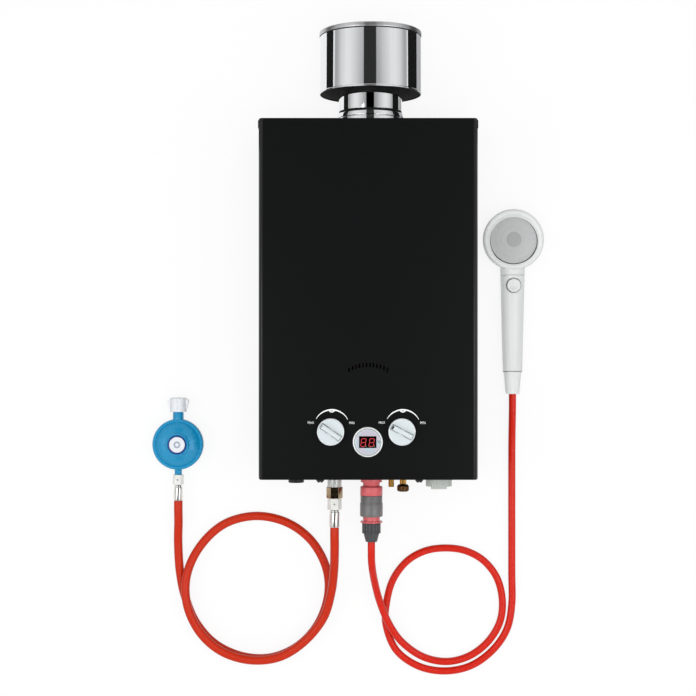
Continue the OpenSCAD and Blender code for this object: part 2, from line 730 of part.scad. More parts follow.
module gas_valve() color([0.68, 0.68, 0.7]) difference() {
    union() {
        block([gas_knob_x - valve_w / 2, gas_valve_bottom, gas_valve_z0],
            [gas_valve_x1, gas_valve_bottom + 38, gas_valve_z1 - 10]);
        block([gas_knob_x - 10, gas_valve_bottom + 30, fit_z - 10],
            [gas_knob_x + 10, gas_valve_top, fit_z + 10]);
        translate([gas_knob_x, knob_y, gas_valve_z1 - 11]) cylinder(h = 11, r = 11);
        rod_y(gas_x, fit_z, gas_valve_bottom - 6, gas_valve_bottom + 1, 9);
    }
    spindle_bore(gas_knob_x);
    rod_x(knob_y, fit_z + 2, gas_valve_x1 - 18, gas_valve_x1 + 1, rod_r + run_gap);
    rod_y(gas_x, fit_z, gas_valve_bottom - 7, gas_valve_bottom + 4, pipe_r);
}

module spindle_bore(x) {
    translate([x, knob_y, gas_valve_z1 - spindle_depth])
        cylinder(h = spindle_depth + 6, r = spindle_r + run_gap);
}

module gas_spindle() color([0.8, 0.7, 0.4]) spindle(gas_knob_x, gas_valve_z1 - spindle_depth + 1);

module spindle(x, z0) {
    translate([x, knob_y, z0]) cylinder(h = knob_z + 6 - z0, r = spindle_r);
    translate([x, knob_y, gas_valve_z1 + 0.4]) cylinder(h = 2, r = spindle_r + 2);
}

module valve_disc(x0, x1) {
    rod_x(knob_y, fit_z + 2, x0, x1, water_valve_r);
}

module water_valve() color([0.78, 0.62, 0.35]) difference() {
    union() {
        valve_disc(water_valve_x0 + 10, water_valve_x0 + 16);
        rod_x(knob_y, fit_z + 2, water_valve_x0 + 16, water_valve_x1, 17);
        block([water_knob_x - 9, knob_y - 9, fit_z], [water_knob_x + 9, knob_y + 9, gas_valve_z1 - 4]);
        translate([water_knob_x, knob_y, gas_valve_z1 - 5]) cylinder(h = 5, r = 9);
        translate([feed_x, knob_y, fit_z + 2 - water_valve_r]) cylinder(h = 12, r = 8);
        rod_y(relief_x, fit_z, knob_y - port_len, knob_y - 10, 4.8);
        rod_y(drain_x, fit_z, knob_y - port_len, knob_y - 10, 7);
        rod_y(cold_port_x, fit_z + 2, knob_y - port_len, knob_y - 10, 6);
    }
    spindle_bore(water_knob_x);
    bolt_ring(water_valve_x0 + 9, water_valve_x0 + 17);
}

module bolt_ring(x0, x1) {
    for (a = [0 : 60 : 300])
        rod_x(knob_y + 20.5 * sin(a), fit_z + 2 + 20.5 * cos(a), x0, x1, 1.6);
}

module valve_cover() color([0.8, 0.66, 0.4]) {
    difference() {
        union() {
            valve_disc(water_valve_x0, water_valve_x0 + 8);
            rod_x(knob_y, fit_z + 2, water_valve_x0 - 6, water_valve_x0 + 1, 8);
        }
        rod_x(knob_y, fit_z + 2, water_valve_x0 - 7, water_valve_x0 + 9, rod_r + run_gap);
        rod_x(knob_y, fit_z + 2, water_valve_x0 + 2.5, water_valve_x0 + 9, 14);
    }
    bolt_ring(water_valve_x0 + 7, water_valve_x0 + 16);
}

module valve_diaphragm() color([0.2, 0.2, 0.2]) difference() {
    valve_disc(water_valve_x0 + 8, water_valve_x0 + 8 + diaphragm_t);
    bolt_ring(water_valve_x0 + 7, water_valve_x0 + 11);
}

module push_rod() color([0.75, 0.75, 0.77]) {
    rod_x(knob_y, fit_z + 2, gas_valve_x1 - 18 + rod_travel + 1, water_valve_x0 + 6, rod_r);
    rod_x(knob_y, fit_z + 2, water_valve_x0 + 5.9, water_valve_x0 + 7.6, 10);
}

module water_spindle() color([0.8, 0.7, 0.4])
    spindle(water_knob_x, gas_valve_z1 - spindle_depth + 1);

module micro_switch() color([0.1, 0.1, 0.11]) {
    block([gas_valve_x1, knob_y + 6, fit_z + 8], [gas_valve_x1 + 20, knob_y + 13, fit_z + 18]);
    block([gas_valve_x1 + 3, knob_y + 8, fit_z + 6], [gas_valve_x1 + 6, knob_y + 11, fit_z + 8]);
}

module cold_pipe() color([0.76, 0.46, 0.3])
    pipe([[cold_x, -seat_y + inlet_h, fit_z], [cold_x, cold_run_y, fit_z],
          [cold_x, cold_run_y, cold_run_z], [cold_port_x, cold_run_y, cold_run_z],
          [cold_port_x, cold_run_y, fit_z + 2], [cold_port_x, knob_y - port_len, fit_z + 2]],
        tube_r);

module hot_pipe() color([0.76, 0.46, 0.3]) {
    z = tube_z(tube_count - 1);
    pipe([[coil_x0, exchanger_y, z], [hot_run_x, exchanger_y, z], [hot_run_x, hot_run_y, z],
          [hot_run_x, hot_run_y, hot_run_z], [outlet_x, hot_run_y, hot_run_z],
          [outlet_x, hot_rise_y, hot_run_z], [outlet_x, hot_rise_y, fit_z],
          [outlet_x, -seat_y + outlet_h, fit_z]], tube_r);
}

// ---------------------------------------------------------------- controls

// A round knob with a raised grip bar, its pointer towards +X
module knob(pointer_depth) {
    difference() {
        union() {
            rotate_extrude() polygon([[0, 0], [knob_d / 2 - 0.8, 0], [knob_d / 2, 1],
                [knob_d / 2, knob_h - 1.6], [knob_d / 2 - 1.6, knob_h], [0, knob_h]]);
            intersection() {
                translate([-knob_d / 2, -grip_w / 2, knob_h - 1]) cube([knob_d, grip_w, grip_h + 1]);
                rotate_extrude() polygon([[0, 0], [knob_d / 2 - 1.6, 0], [knob_d / 2 - 1.6, knob_h],
                    [knob_d / 2 - 3.5, knob_h + grip_h], [0, knob_h + grip_h]]);
            }
        }
        translate([0, 0, -1]) cylinder(h = 7.2, r = spindle_r + 0.03);
        difference() {
            translate([0, 0, -1]) cylinder(h = 4, r = knob_d / 2 - 2.4);
            translate([0, 0, -2]) cylinder(h = 6, r = spindle_r + 3.5);
        }
        translate([knob_d / 2 - 3.6, -grip_w / 2 - 1, knob_h + grip_h - pointer_depth])
            cube([4, grip_w + 2, pointer_depth + 1]);
    }
}

module gas_knob() color([0.87, 0.89, 0.9])
    translate([gas_knob_x, knob_y, knob_z]) rotate([0, 0, gas_pointer]) knob(0.8);

module water_knob() color([0.87, 0.89, 0.9])
    translate([water_knob_x, knob_y, knob_z]) rotate([0, 0, water_pointer]) knob(0.8);

module window_block(grow, z0, z1) {
    block([display_x - window_w / 2 - grow, display_y - window_h / 2 - grow, z0],
        [display_x + window_w / 2 + grow, display_y + window_h / 2 + grow, z1]);
}

module display_bezel() color([0.87, 0.89, 0.9]) difference() {
    translate([display_x, display_y, 0]) rotate_extrude() polygon([
        [0, case_d], [bezel_d / 2, case_d], [bezel_d / 2, case_d + 2.4],
        [bezel_d / 2 - 0.8, case_d + 3.2], [bezel_d / 2 - 2.4, case_d + 3.2],
        [bezel_d / 2 - 3.4, case_d + 2.2], [0, case_d + 2.2]]);
    window_block(0, case_d - 1, case_d + 5);
}

module display_window() color([0.06, 0.02, 0.02])
    window_block(-0.05, case_d, case_d + 1.7);

module display_module() color([0.1, 0.3, 0.15]) {
    translate([display_x, display_y, front_in - 1]) cylinder(h = sheet_t + 1, r = bezel_d / 2 - 3);
    translate([display_x, display_y, front_in - 16]) cylinder(h = 16, r = bezel_d / 2);
}

// ---------------------------------------------------------------- battery

module battery_box() color([0.14, 0.14, 0.15]) difference() {
    union() {
        block([battery_x - box_half, -seat_y, fit_z - box_half],
            [battery_x + box_half, cell_top + 3, fit_z + box_half]);
        block([battery_x - box_flange[0], -seat_y, fit_z - box_flange[1]],
            [battery_x + box_flange[0], -seat_y + 2, fit_z + box_flange[1]]);
    }
    rod_y(battery_x, fit_z, -seat_y - 1, cell_top, box_r);
}

module battery_cells() color([0.2, 0.35, 0.6])
    for (i = [0, 1]) {
        y = cell_bottom + i * cell_len;
        rod_y(battery_x, fit_z, y, y + cell_len - 2, cell_d / 2);
        rod_y(battery_x, fit_z, y + cell_len - 2, y + cell_len, 4.5);
    }

module battery_cap() color([0.7, 0.73, 0.7]) {
    difference() {
        union() {
            rod_y(battery_x, fit_z, -half_h - 13.6, -plate_y - 0.4, battery_cap_d / 2);
            rod_y(battery_x, fit_z, -plate_y - 0.5, cell_bottom - 0.4, box_r - 0.2);
        }
        for (a = [0 : 15 : 345])
            translate([battery_x, 0, fit_z]) rotate([0, a, 0])
                translate([battery_cap_d / 2 + 0.4, -half_h - 14, 0]) rotate([-90, 0, 0])
                cylinder(h = 9, r = 1);
    }
    block([battery_x - 10.2, -half_h - 17.8, fit_z - 4], [battery_x + 10.2, -half_h - 13.6, fit_z + 4]);
}

// ---------------------------------------------------------------- fittings

module gas_inlet() color([0.72, 0.72, 0.72]) difference() {
    union() {
        rod_y(gas_x, fit_z, union_y + 1, gas_valve_bottom + 4, pipe_r);
        rod_y(gas_x, fit_z, ring_y, -plate_y, 9.4);
        rod_y(gas_x, fit_z, -seat_y, -seat_y + 6, 9.4);
    }
    for (a = [0 : 20 : 340])
        translate([gas_x, 0, fit_z]) rotate([0, a, 0])
            translate([9.7, ring_y - 1, 0]) rotate([-90, 0, 0]) cylinder(h = 9, r = 0.7);
}

module gas_union_nut() color([0.78, 0.62, 0.32]) difference() {
    hex_y(gas_x, fit_z, union_y, ring_y, 18.8);
    rod_y(gas_x, fit_z, union_y - 1, ring_y + 1, pipe_r);
}

module cold_inlet() color([0.12, 0.12, 0.12]) difference() {
    union() {
        rod_y(cold_x, fit_z, -half_h - 3.5, -plate_y, cold_flange_d / 2);
        rod_y(cold_x, fit_z, -half_h - 9, -seat_y + 3, half_inch_r);
        rod_y(cold_x, fit_z, -seat_y, -seat_y + inlet_h, cold_flange_d / 2);
    }
    rod_y(cold_x, fit_z, -half_h - 10, -seat_y + inlet_h + 1, tube_r - 1);
}

module hot_outlet() color([0.78, 0.62, 0.32]) difference() {
    union() {
        rod_y(outlet_x, fit_z, -half_h - 8, -seat_y + 3, half_inch_r);
        hex_y(outlet_x, fit_z, -seat_y, -seat_y + outlet_h, 26);
    }
    rod_y(outlet_x, fit_z, -half_h - 10, -seat_y + outlet_h + 1, tube_r - 1);
}

module drain_valve() color([0.78, 0.62, 0.32]) difference() {
    union() {
        rod_y(drain_x, fit_z, drain_y, knob_y - 26, 4.45);
        rod_y(relief_x, fit_z, -half_h - 14.9, knob_y - 26, 3.75);
    }
    rod_y(drain_x, fit_z, drain_y - 1, drain_y + 24, 2.5 + run_gap);
    rod_y(relief_x, fit_z, -half_h - 16, knob_y - 27, 2.6);
}

module drain_knob() color([0.25, 0.2, 0.15]) difference() {
    union() {
        turned_y(drain_x, fit_z, drain_y - part_gap - 9.3, [
            [0, 0], [drain_knob_d / 2 - 1.6, 0], [drain_knob_d / 2, 1.6],
            [drain_knob_d / 2, 7], [drain_knob_d / 2 - 2, 9.3], [0, 9.3]]);
        rod_y(drain_x, fit_z, drain_y - 1, drain_y + 20, 2.5);
    }
    for (a = [0 : 30 : 330])
        translate([drain_x, 0, fit_z]) rotate([0, a, 0])
            translate([drain_knob_d / 2 + 0.5, drain_y - 10, 0]) rotate([-90, 0, 0])
            cylinder(h = 8, r = 1.2);
}

// ---------------------------------------------------------------- hose coupler

module tap_adapter() color([0.8, 0.25, 0.28]) difference() {
    union() {
        rod_y(outlet_x, fit_z, adapter_y, -plate_y - 0.5, 14.25);
        rod_y(outlet_x, fit_z, coupler_top + 0.3, adapter_y, core_d / 2);
        rod_y(outlet_x, fit_z, coupler_top - 9, coupler_top + 1, 7);
    }
    rod_y(outlet_x, fit_z, -half_h - 8, -plate_y, half_inch_r);
    rod_y(outlet_x, fit_z, coupler_top - 10, -plate_y, 4);
}

module coupler_body() color([0.8, 0.25, 0.28]) difference() {
    union() {
        turned_y(outlet_x, fit_z, sleeve_top, [[0, 0], [ring_d / 2, 0],
            [ring_d / 2, ring_len - 1], [ring_d / 2 - 1, ring_len], [0, ring_len]]);
        rod_y(outlet_x, fit_z, foot_y, sleeve_top, core_d / 2);
        rod_y(outlet_x, fit_z, nut_top, foot_y, ring_d / 2 - 0.2);
        rod_y(outlet_x, fit_z, nut_top - 11, nut_top, 8);
    }
    rod_y(outlet_x, fit_z, coupler_top - 10, coupler_top + 1, 7.1);
    rod_y(outlet_x, fit_z, nut_top - 12, coupler_top, 4);
}

module release_sleeve() color([0.3, 0.3, 0.31]) difference() {
    turned_y(outlet_x, fit_z, sleeve_top - sleeve_len, [
        [core_d / 2 + 0.2, 0], [sleeve_d / 2 - 0.6, 0], [sleeve_d / 2, 0.6],
        [sleeve_d / 2, sleeve_len * 0.62], [sleeve_d / 2 - 0.6, sleeve_len * 0.66],
        [sleeve_d / 2 - 0.6, sleeve_len - part_gap], [core_d / 2 + 0.2, sleeve_len - part_gap]]);
    for (a = [0, 180])
        translate([outlet_x, 0, fit_z]) rotate([0, a, 0])
            translate([sleeve_d / 2 + 13.4, sleeve_top - 7, 0]) sphere(r = 14);
}

module coupler_nut() color([0.28, 0.29, 0.3]) difference() {
    union() {
        rod_y(outlet_x, fit_z, nut_top - nut_grip, nut_top - 0.4, hose_nut_d / 2 - 1.6);
        cone_y(outlet_x, fit_z, nut_end, nut_top - nut_grip, 7.6, hose_nut_d / 2 - 1.6);
        for (i = [0 : hose_nut_ribs - 1])
            translate([outlet_x, 0, fit_z]) rotate([0, (i + 0.5) * 360 / hose_nut_ribs, 0])
                translate([hose_nut_d / 2 - nut_rib_r, nut_top - nut_grip - 1, 0]) rotate([-90, 0, 0])
                cylinder(h = nut_grip + 0.6, r = nut_rib_r);
    }
    rod_y(outlet_x, fit_z, nut_top - 12, nut_top + 1, 8 + run_gap);
}

// ---------------------------------------------------------------- shower hose and handset

module shower_hose() color([0.9, 0.18, 0.12])
    tube(shower_route, shower_hose_d / 2, route_rings, hose_sides);

module hose_cone_nut() color([0.85, 0.87, 0.86]) difference() {
    union() {
        cone_y(handset_x, handset_z, cone_end_y + 0.3, cone_top_y, 9.25, 11.75);
        rod_y(handset_x, handset_z, cone_top_y, cone_top_y + 2.2, 12.6);
    }
    rod_y(handset_x, handset_z, cone_top_y - 10, cone_top_y + 3, 7 + run_gap);
}

handle_slope = (handle_top_d - handle_end_d) / 2 / (handle_top_y - handle_end_y);
button_top = handset_z + handle_top_d / 2 + 2.2;

module handset_handle() color([0.9, 0.92, 0.91]) difference() {
    union() {
        cone_y(handset_x, handset_z, handle_end_y, handle_top_y - 0.4,
            handle_end_d / 2, handle_top_d / 2 - 0.4 * handle_slope);
        rod_y(handset_x, handset_z, cone_top_y - 9, handle_end_y + 1, 7);
        rod_y(handset_x, handset_z, handle_top_y - 2, handle_top_y + 8, 9);
    }
    translate([handset_x, button_y, handset_z + 6]) cylinder(h = 30, r = button_d / 2 + 0.5);
    translate([handset_x, button_y, handset_z - 6]) cylinder(h = 20, r = 4 + run_gap);
    rod_y(handset_x, handset_z, cone_top_y - 10, cone_top_y + 40, 4);
}

module handset_button() color([0.93, 0.94, 0.93]) {
    translate([handset_x, button_y, 0]) rotate_extrude() polygon([
        [0, handset_z + 6 + button_travel + 0.3], [button_d / 2, handset_z + 6 + button_travel + 0.3],
        [button_d / 2, button_top - 1], [button_d / 2 - 1, button_top],
        [button_d / 2 - 3.4, button_top], [button_d / 2 - 4.6, button_top - 1], [0, button_top - 1.4]]);
    translate([handset_x, button_y, handset_z - 2]) cylinder(h = 12, r = 4);
}

module head_shell() color([0.9, 0.92, 0.91]) difference() {
    union() {
        translate([handset_x, head_y, 0]) rotate_extrude() polygon([
            [0, 0], [head_d * 0.26, 0], [head_d * 0.38, 3], [head_d * 0.45, 8],
            [head_d * 0.49, 15], [head_d / 2, 22], [head_d / 2, head_h - 4],
            [head_d / 2 - 1.5, head_h - 1], [head_d / 2 - 4, head_h], [face_d / 2 + 1, head_h - 1],
            [face_d / 2 + 0.2, head_h - 3.5], [face_d / 2 + 0.2, head_h - 8], [0, head_h - 8]]);
        difference() {
            cone_y(handset_x, handset_z, handle_top_y, head_y - 20,
                handle_top_d / 2, handle_top_d / 2 + 1);
            translate([handset_x, head_y, head_h - 8]) cylinder(h = 20, r = head_d / 2 - 1);
            translate([0, 0, -20]) block([handset_x - 40, handle_top_y, 0],
                [handset_x + 40, head_y, 20]);
        }
    }
    rod_y(handset_x, handset_z, handle_top_y - 1, handle_top_y + 10, 9);
}

nozzle_rings = [[13.5, 8], [18, 12], [22.5, 16], [27, 20]];

module spray_face() color([0.62, 0.63, 0.63])
    translate([handset_x, head_y, head_h - 8]) {
        rotate_extrude() polygon([[0, 0], [face_d / 2, 0], [face_d / 2, 4.5],
            [face_d / 2 - 1, 5.4], [30.2, 5.4], [29.6, 4.8], [25.3, 4.8], [24.7, 5.6], [24.3, 5.6],
            [20.6, 5], [20.2, 5.8], [16, 5.2], [15.4, 6], [11.4, 5.6], [10.8, 4.6], [9.6, 4.6],
            [9, 6.2], [0, 6.2]]);
        for (ring = nozzle_rings, k = [0 : ring[1] - 1])
            rotate([0, 0, k * 360 / ring[1]]) translate([ring[0], 0, 4])
                cylinder(h = 3, r = 0.9);
    }

// ---------------------------------------------------------------- gas hose and regulator

module gas_hose() color([0.87, 0.23, 0.1])
    tube(gas_route, gas_hose_d / 2, route_rings, hose_sides);

// A swaged ferrule on the end of a hose
module ferrule(x, z, y_hose, y_top, r) {
    h = y_top - y_hose;
    turned_y(x, z, y_hose, [[0, 0], [r - 0.8, 0], [r, 0.8], [r, h - 2.4], [r - 0.8, h - 1.6],
        [r - 0.8, h], [0, h]]);
}

module gas_hose_fittings() color([0.78, 0.78, 0.76]) {
    ferrule(gas_x, fit_z, hose_exit_y, ferrule_top, 6.8);
    rod_y(gas_x, fit_z, ferrule_top, union_y - 3.6, 4.5);
    rod_y(gas_x, fit_z, union_y - 3.6, union_y - 0.4, 6.4);
    ferrule(reg_x, reg_z, reg_exit_y, reg_nut_y0 - 1.2, 5.9);
    rod_y(reg_x, reg_z, reg_nut_y0 - 1.2, reg_nut_y0 + 9.7, 3.2);
    rod_y(reg_x, reg_z, reg_nut_y0 + 9.7, reg_nut_y0 + 12.7, 4.4);
}

// A hexagon nut that turns on a flanged stem
module swivel_nut(x, z, y0, y1, flats, stem_r, flange_r) {
    difference() {
        hex_y(x, z, y0, y1, flats);
        rod_y(x, z, y0 - 1, y1 + 1, stem_r + run_gap);
        rod_y(x, z, y1 - 3.9, y1 + 1, flange_r + run_gap);
    }
}

module hose_swivel_nut() color([0.9, 0.9, 0.88])
    swivel_nut(gas_x, fit_z, swivel_y, union_y - part_gap, 16.5, 4.5, 6.4);

module regulator_swivel_nut() color([0.9, 0.9, 0.88])
    swivel_nut(reg_x, reg_z, reg_nut_y0, reg_nut_y0 + 13.5, 13.2, 3.2, 4.4);

reg_stub_y = reg_nut_y0 + 13.8;
wing_y0 = -150.2;
wing_y1 = -131.4;
wing_t = 7;
ear_r = 4.4;

module regulator() color([0.13, 0.53, 0.7]) {
        translate([reg_x, reg_y, 0]) rotate_extrude() polygon([
            [0, 0], [18, 0], [20, 1], [22, 5], [29, 9], [reg_d / 2 - 1, 12], [reg_d / 2, 13],
            [reg_d / 2, 17.4], [reg_d / 2 - 0.8, 18], [reg_d / 2, 18.6], [reg_d / 2, 22.5],
            [reg_d / 2 - 1.4, 24], [reg_d / 2 - 3.4, 24], [reg_d / 2 - 4.4, 23], [reg_d / 2 - 5.4, 24.4],
            [20, 29], [16.4, 30], [15.2, 31.6], [13.4, 31.6], [12.6, 30.4],
            [reg_cap_d / 2 + 0.6, 30.4], [reg_cap_d / 2 + 0.6, 28], [0, 28]]);
        rod_y(reg_x, reg_z, reg_stub_y, reg_y - 25, 5);
        rod_y(reg_x, reg_z, reg_y + 26, wing_y0 - 1.5, 7.4);
        rod_y(reg_x, reg_z, reg_y + 25, wing_y0 + 3.6, reg_neck_d / 2);
        rod_y(reg_x, reg_z, wing_y0 + 3.5, wing_y0 + 5.5, 8.6);
}

// The blank cap over the regulator's spring
module regulator_cap() color([0.93, 0.93, 0.95])
    translate([reg_x, reg_y, 28]) rotate_extrude() polygon([
        [0, 0], [reg_cap_d / 2, 0], [reg_cap_d / 2, 3], [reg_cap_d / 2 - 0.6, 3.6], [0, 3.6]]);

module wing_nut() color([0.88, 0.9, 0.9])
    difference() {
        union() {
            turned_y(reg_x, reg_z, wing_y0, [[0, 0], [wing_hub_d / 2 - 0.6, 0], [wing_hub_d / 2, 0.6],
                [wing_hub_d / 2, 18], [wing_hub_d / 2 - 0.8, wing_y1 - wing_y0], [0, wing_y1 - wing_y0]]);
            for (side = [-1, 1])
                translate([reg_x, wing_y0, reg_z - wing_t / 2]) {
                    translate([side * (wing_span / 2 - ear_r), wing_y1 - wing_y0 - ear_r - 1, 0])
                        cylinder(h = wing_t, r = ear_r);
                    linear_extrude(wing_t) polygon([[side * 8, 3], [side * (wing_hub_d / 2), 3],
                        [side * (wing_span / 2 - 1.2), wing_y1 - wing_y0 - 2 * ear_r],
                        [side * 8, wing_y1 - wing_y0 - 2]]);
                }
        }
        for (turn = [0, 180])
            translate([reg_x, 0, reg_z]) rotate([0, turn, 0])
                block([-0.5, wing_y0 + 3, wing_hub_d / 2 - 1], [0.5, wing_y1 + 1, wing_hub_d / 2 + 1]);
        rod_y(reg_x, reg_z, wing_y0 - 1, wing_y0 + 4, reg_neck_d / 2 + run_gap);
        rod_y(reg_x, reg_z, wing_y0 + 3.2, wing_y0 + 5.9, 8.9);
        rod_y(reg_x, reg_z, wing_y0 + 5, wing_y1 + 1, bottle_thread_r);
    }

// ---------------------------------------------------------------- assembly

echo(gas_hose_gap = least_gap(gas_route, gas_hose_d));
echo(shower_hose_gap = least_gap(shower_route, shower_hose_d));

back_plate();
bottom_plate();
top_plate();
front_cover();
cover_screws();
flue_collar();
exhaust_neck();
cap_shell();
cap_lid();
flue_hood();
combustion_chamber();
exchanger_shell();
exchanger_fins();
exchanger_tubes();
water_coil();
burner_bars();
gas_manifold();
electrodes();
ignition_box();
gas_valve();
gas_spindle();
water_valve();
valve_cover();
valve_diaphragm();
push_rod();
water_spindle();
micro_switch();
cold_pipe();
hot_pipe();
gas_knob();
water_knob();
display_bezel();
display_window();
display_module();
battery_box();
battery_cells();
battery_cap();
gas_inlet();
gas_union_nut();
cold_inlet();
hot_outlet();
drain_valve();
drain_knob();
tap_adapter();
coupler_body();
release_sleeve();
coupler_nut();
shower_hose();
hose_cone_nut();
handset_handle();
handset_button();
head_shell();
spray_face();
gas_hose();
gas_hose_fittings();
hose_swivel_nut();
regulator_swivel_nut();
regulator();
regulator_cap();
wing_nut();
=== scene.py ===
"""Looks for a portable propane water heater, laid out on a pale floor.

The heater lies on its back and is seen from straight above. Its gas hose and
regulator lie to the left, its shower hose and handset to the right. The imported
CAD model is the fixed frame: sizes and places come from it, in metres.
"""

import json
import logging
import math
from dataclasses import dataclass, field
from enum import Enum

import bmesh
import bpy
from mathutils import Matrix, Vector

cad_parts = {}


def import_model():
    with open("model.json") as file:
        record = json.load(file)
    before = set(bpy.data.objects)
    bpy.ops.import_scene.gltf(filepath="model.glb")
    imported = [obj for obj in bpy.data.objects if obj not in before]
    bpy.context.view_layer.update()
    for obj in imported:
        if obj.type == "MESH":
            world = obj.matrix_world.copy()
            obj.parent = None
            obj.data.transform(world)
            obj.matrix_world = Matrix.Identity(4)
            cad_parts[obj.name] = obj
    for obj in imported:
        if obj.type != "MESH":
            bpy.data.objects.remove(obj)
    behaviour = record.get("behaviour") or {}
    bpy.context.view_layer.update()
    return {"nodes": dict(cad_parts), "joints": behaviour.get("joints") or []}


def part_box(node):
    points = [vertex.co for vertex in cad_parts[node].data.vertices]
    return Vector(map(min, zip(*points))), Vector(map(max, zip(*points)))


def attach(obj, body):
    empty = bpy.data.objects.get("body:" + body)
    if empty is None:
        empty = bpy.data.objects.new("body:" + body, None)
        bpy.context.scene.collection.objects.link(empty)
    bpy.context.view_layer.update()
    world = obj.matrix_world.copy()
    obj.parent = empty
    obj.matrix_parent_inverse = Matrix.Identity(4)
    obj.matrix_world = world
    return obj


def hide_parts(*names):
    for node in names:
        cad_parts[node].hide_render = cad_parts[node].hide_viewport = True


LOG = logging.getLogger("water_heater")
MM = 0.001
Colour = tuple[float, float, float, float]
Profile = list[tuple[float, ...]]

# ------------------------------------------------------------------ shader help


def linear(hex_colour: str) -> Colour:
    """Turns an sRGB hex colour into linear RGBA.

    Args:
        hex_colour: Six hex digits after a hash.

    Returns:
        The colour as a shader socket takes it, with full opacity.
    """
    parts = [int(hex_colour[i : i + 2], 16) / 255 for i in (1, 3, 5)]
    bent = [c / 12.92 if c <= 0.04045 else ((c + 0.055) / 1.055) ** 2.4 for c in parts]
    return (bent[0], bent[1], bent[2], 1.0)


def add_node(
    tree: bpy.types.NodeTree, kind: str, inputs: dict | None = None, **settings: object
) -> bpy.types.Node:
    """Adds one node with its settings, values and links.

    Args:
        tree: The node tree that gets the node.
        kind: The node's type name.
        inputs: Socket name or index to a value, or to the output it is linked from.
        **settings: Properties of the node itself.

    Returns:
        The new node.
    """
    made = tree.nodes.new(kind)
    for name, value in settings.items():
        setattr(made, name, value)
    for name, value in (inputs or {}).items():
        if isinstance(value, bpy.types.NodeSocket):
            tree.links.new(value, made.inputs[name])
        else:
            made.inputs[name].default_value = value
    return made


# ------------------------------------------------------------------ finishes

# Materials built so far, by the finish's name; the CAD's own may share a name.
MADE: dict[str, bpy.types.Material] = {}


@dataclass(frozen=True)
class Finish:
    """A surface: what it is made of and how that was made.

    Attributes:
        name: What the material is called.
        colour: Its colour, as sRGB hex.
        sheen_level: How much light it mirrors, as the shader's specular level.
        grain_mm: Size of its grain.
        relief_mm: Height of its relief, or 0 for none.
        wander: How far its colour and gloss drift, as a share.
    """

    name: str
    colour: str
    roughness: float = 0.4
    metallic: float = 0.0
    ior: float = 1.5
    coat: float = 0.0
    sheen_level: float = 0.5
    grain_mm: float = 1.5
    relief_mm: float = 0.0
    wander: float = 0.0
    coat_roughness: float = 0.06

    def material(self) -> bpy.types.Material:
        """Builds the material, once for each name.

        Returns:
            The material, new or made before.
        """
        if self.name in MADE:
            return MADE[self.name]
        made = bpy.data.materials.new(f"finish_{self.name}")
        MADE[self.name] = made
        made.use_nodes = True
        tree = made.node_tree
        shader = tree.nodes["Principled BSDF"]
        shader.inputs["Base Color"].default_value = linear(self.colour)
        shader.inputs["Roughness"].default_value = self.roughness
        shader.inputs["Metallic"].default_value = self.metallic
        if self.metallic == 0.0:
            shader.inputs["IOR"].default_value = self.ior
        shader.inputs["Specular IOR Level"].default_value = self.sheen_level
        shader.inputs["Coat Weight"].default_value = self.coat
        shader.inputs["Coat Roughness"].default_value = self.coat_roughness
        self.pattern(tree, shader)
        return made

    def stretch(self) -> tuple[float, float, float]:
        """Gives how much finer the grain is along X, Y and Z."""
        return (1.0, 1.0, 1.0)

    def pattern(self, tree: bpy.types.NodeTree, shader: bpy.types.Node) -> None:
        """Adds the grain, the relief and the wandering of the colour.

        Args:
            tree: The material's node tree.
            shader: Its main shader.
        """
        place = add_node(tree, "ShaderNodeTexCoord")
        finer = add_node(
            tree,
            "ShaderNodeMapping",
            {"Vector": place.outputs["Object"], "Scale": self.stretch()},
        )
        grain = add_node(
            tree,
            "ShaderNodeTexNoise",
            {"Vector": finer.outputs[0], "Scale": 1 / (self.grain_mm * MM), "Detail": 3.0},
        )
        if self.relief_mm:
            bump = add_node(
                tree,
                "ShaderNodeBump",
                {"Height": grain.outputs[0], "Distance": self.relief_mm * MM, "Strength": 1.0},
            )
            tree.links.new(bump.outputs[0], shader.inputs["Normal"])
        if self.wander:
            self.wander_colour(tree, shader, grain)

    def wander_colour(
        self, tree: bpy.types.NodeTree, shader: bpy.types.Node, grain: bpy.types.Node
    ) -> None:
        """Lets the colour and the gloss drift a little over the surface.

        Args:
            tree: The material's node tree.
            shader: Its main shader.
            grain: The noise that they drift with.
        """
        base = linear(self.colour)
        low = tuple(c * (1 - self.wander) for c in base[:3]) + (1.0,)
        high = tuple(min(1.0, c * (1 + self.wander)) for c in base[:3]) + (1.0,)
        mixed = add_node(
            tree,
            "ShaderNodeMix",
            {0: grain.outputs[0], 6: low, 7: high},
            data_type="RGBA",
        )
        tree.links.new(mixed.outputs[2], shader.inputs["Base Color"])
        gloss = add_node(
            tree,
            "ShaderNodeMapRange",
            {
                "Value": grain.outputs[0],
                "To Min": self.roughness * (1 - self.wander),
                "To Max": min(1.0, self.roughness * (1 + self.wander)),
            },
        )
        tree.links.new(gloss.outputs[0], shader.inputs["Roughness"])


@dataclass(frozen=True)
class PowderCoat(Finish):
    """Polyester powder, sprayed and baked: satin, with a fine orange peel."""


@dataclass(frozen=True)
class RolledSheet(Finish):
    """Sheet metal with rolling lines along the case, which streak its gloss."""

    def stretch(self) -> tuple[float, float, float]:
        """Gives long, narrow grain along Y."""
        return (1.0, 0.06, 1.0)


@dataclass(frozen=True)
class LatheTurned(Finish):
    """Bar stock turned along Y: fine rings round the axis catch the light."""

    def stretch(self) -> tuple[float, float, float]:
        """Gives rings: fine along Y and long across it."""
        return (0.08, 1.0, 0.08)


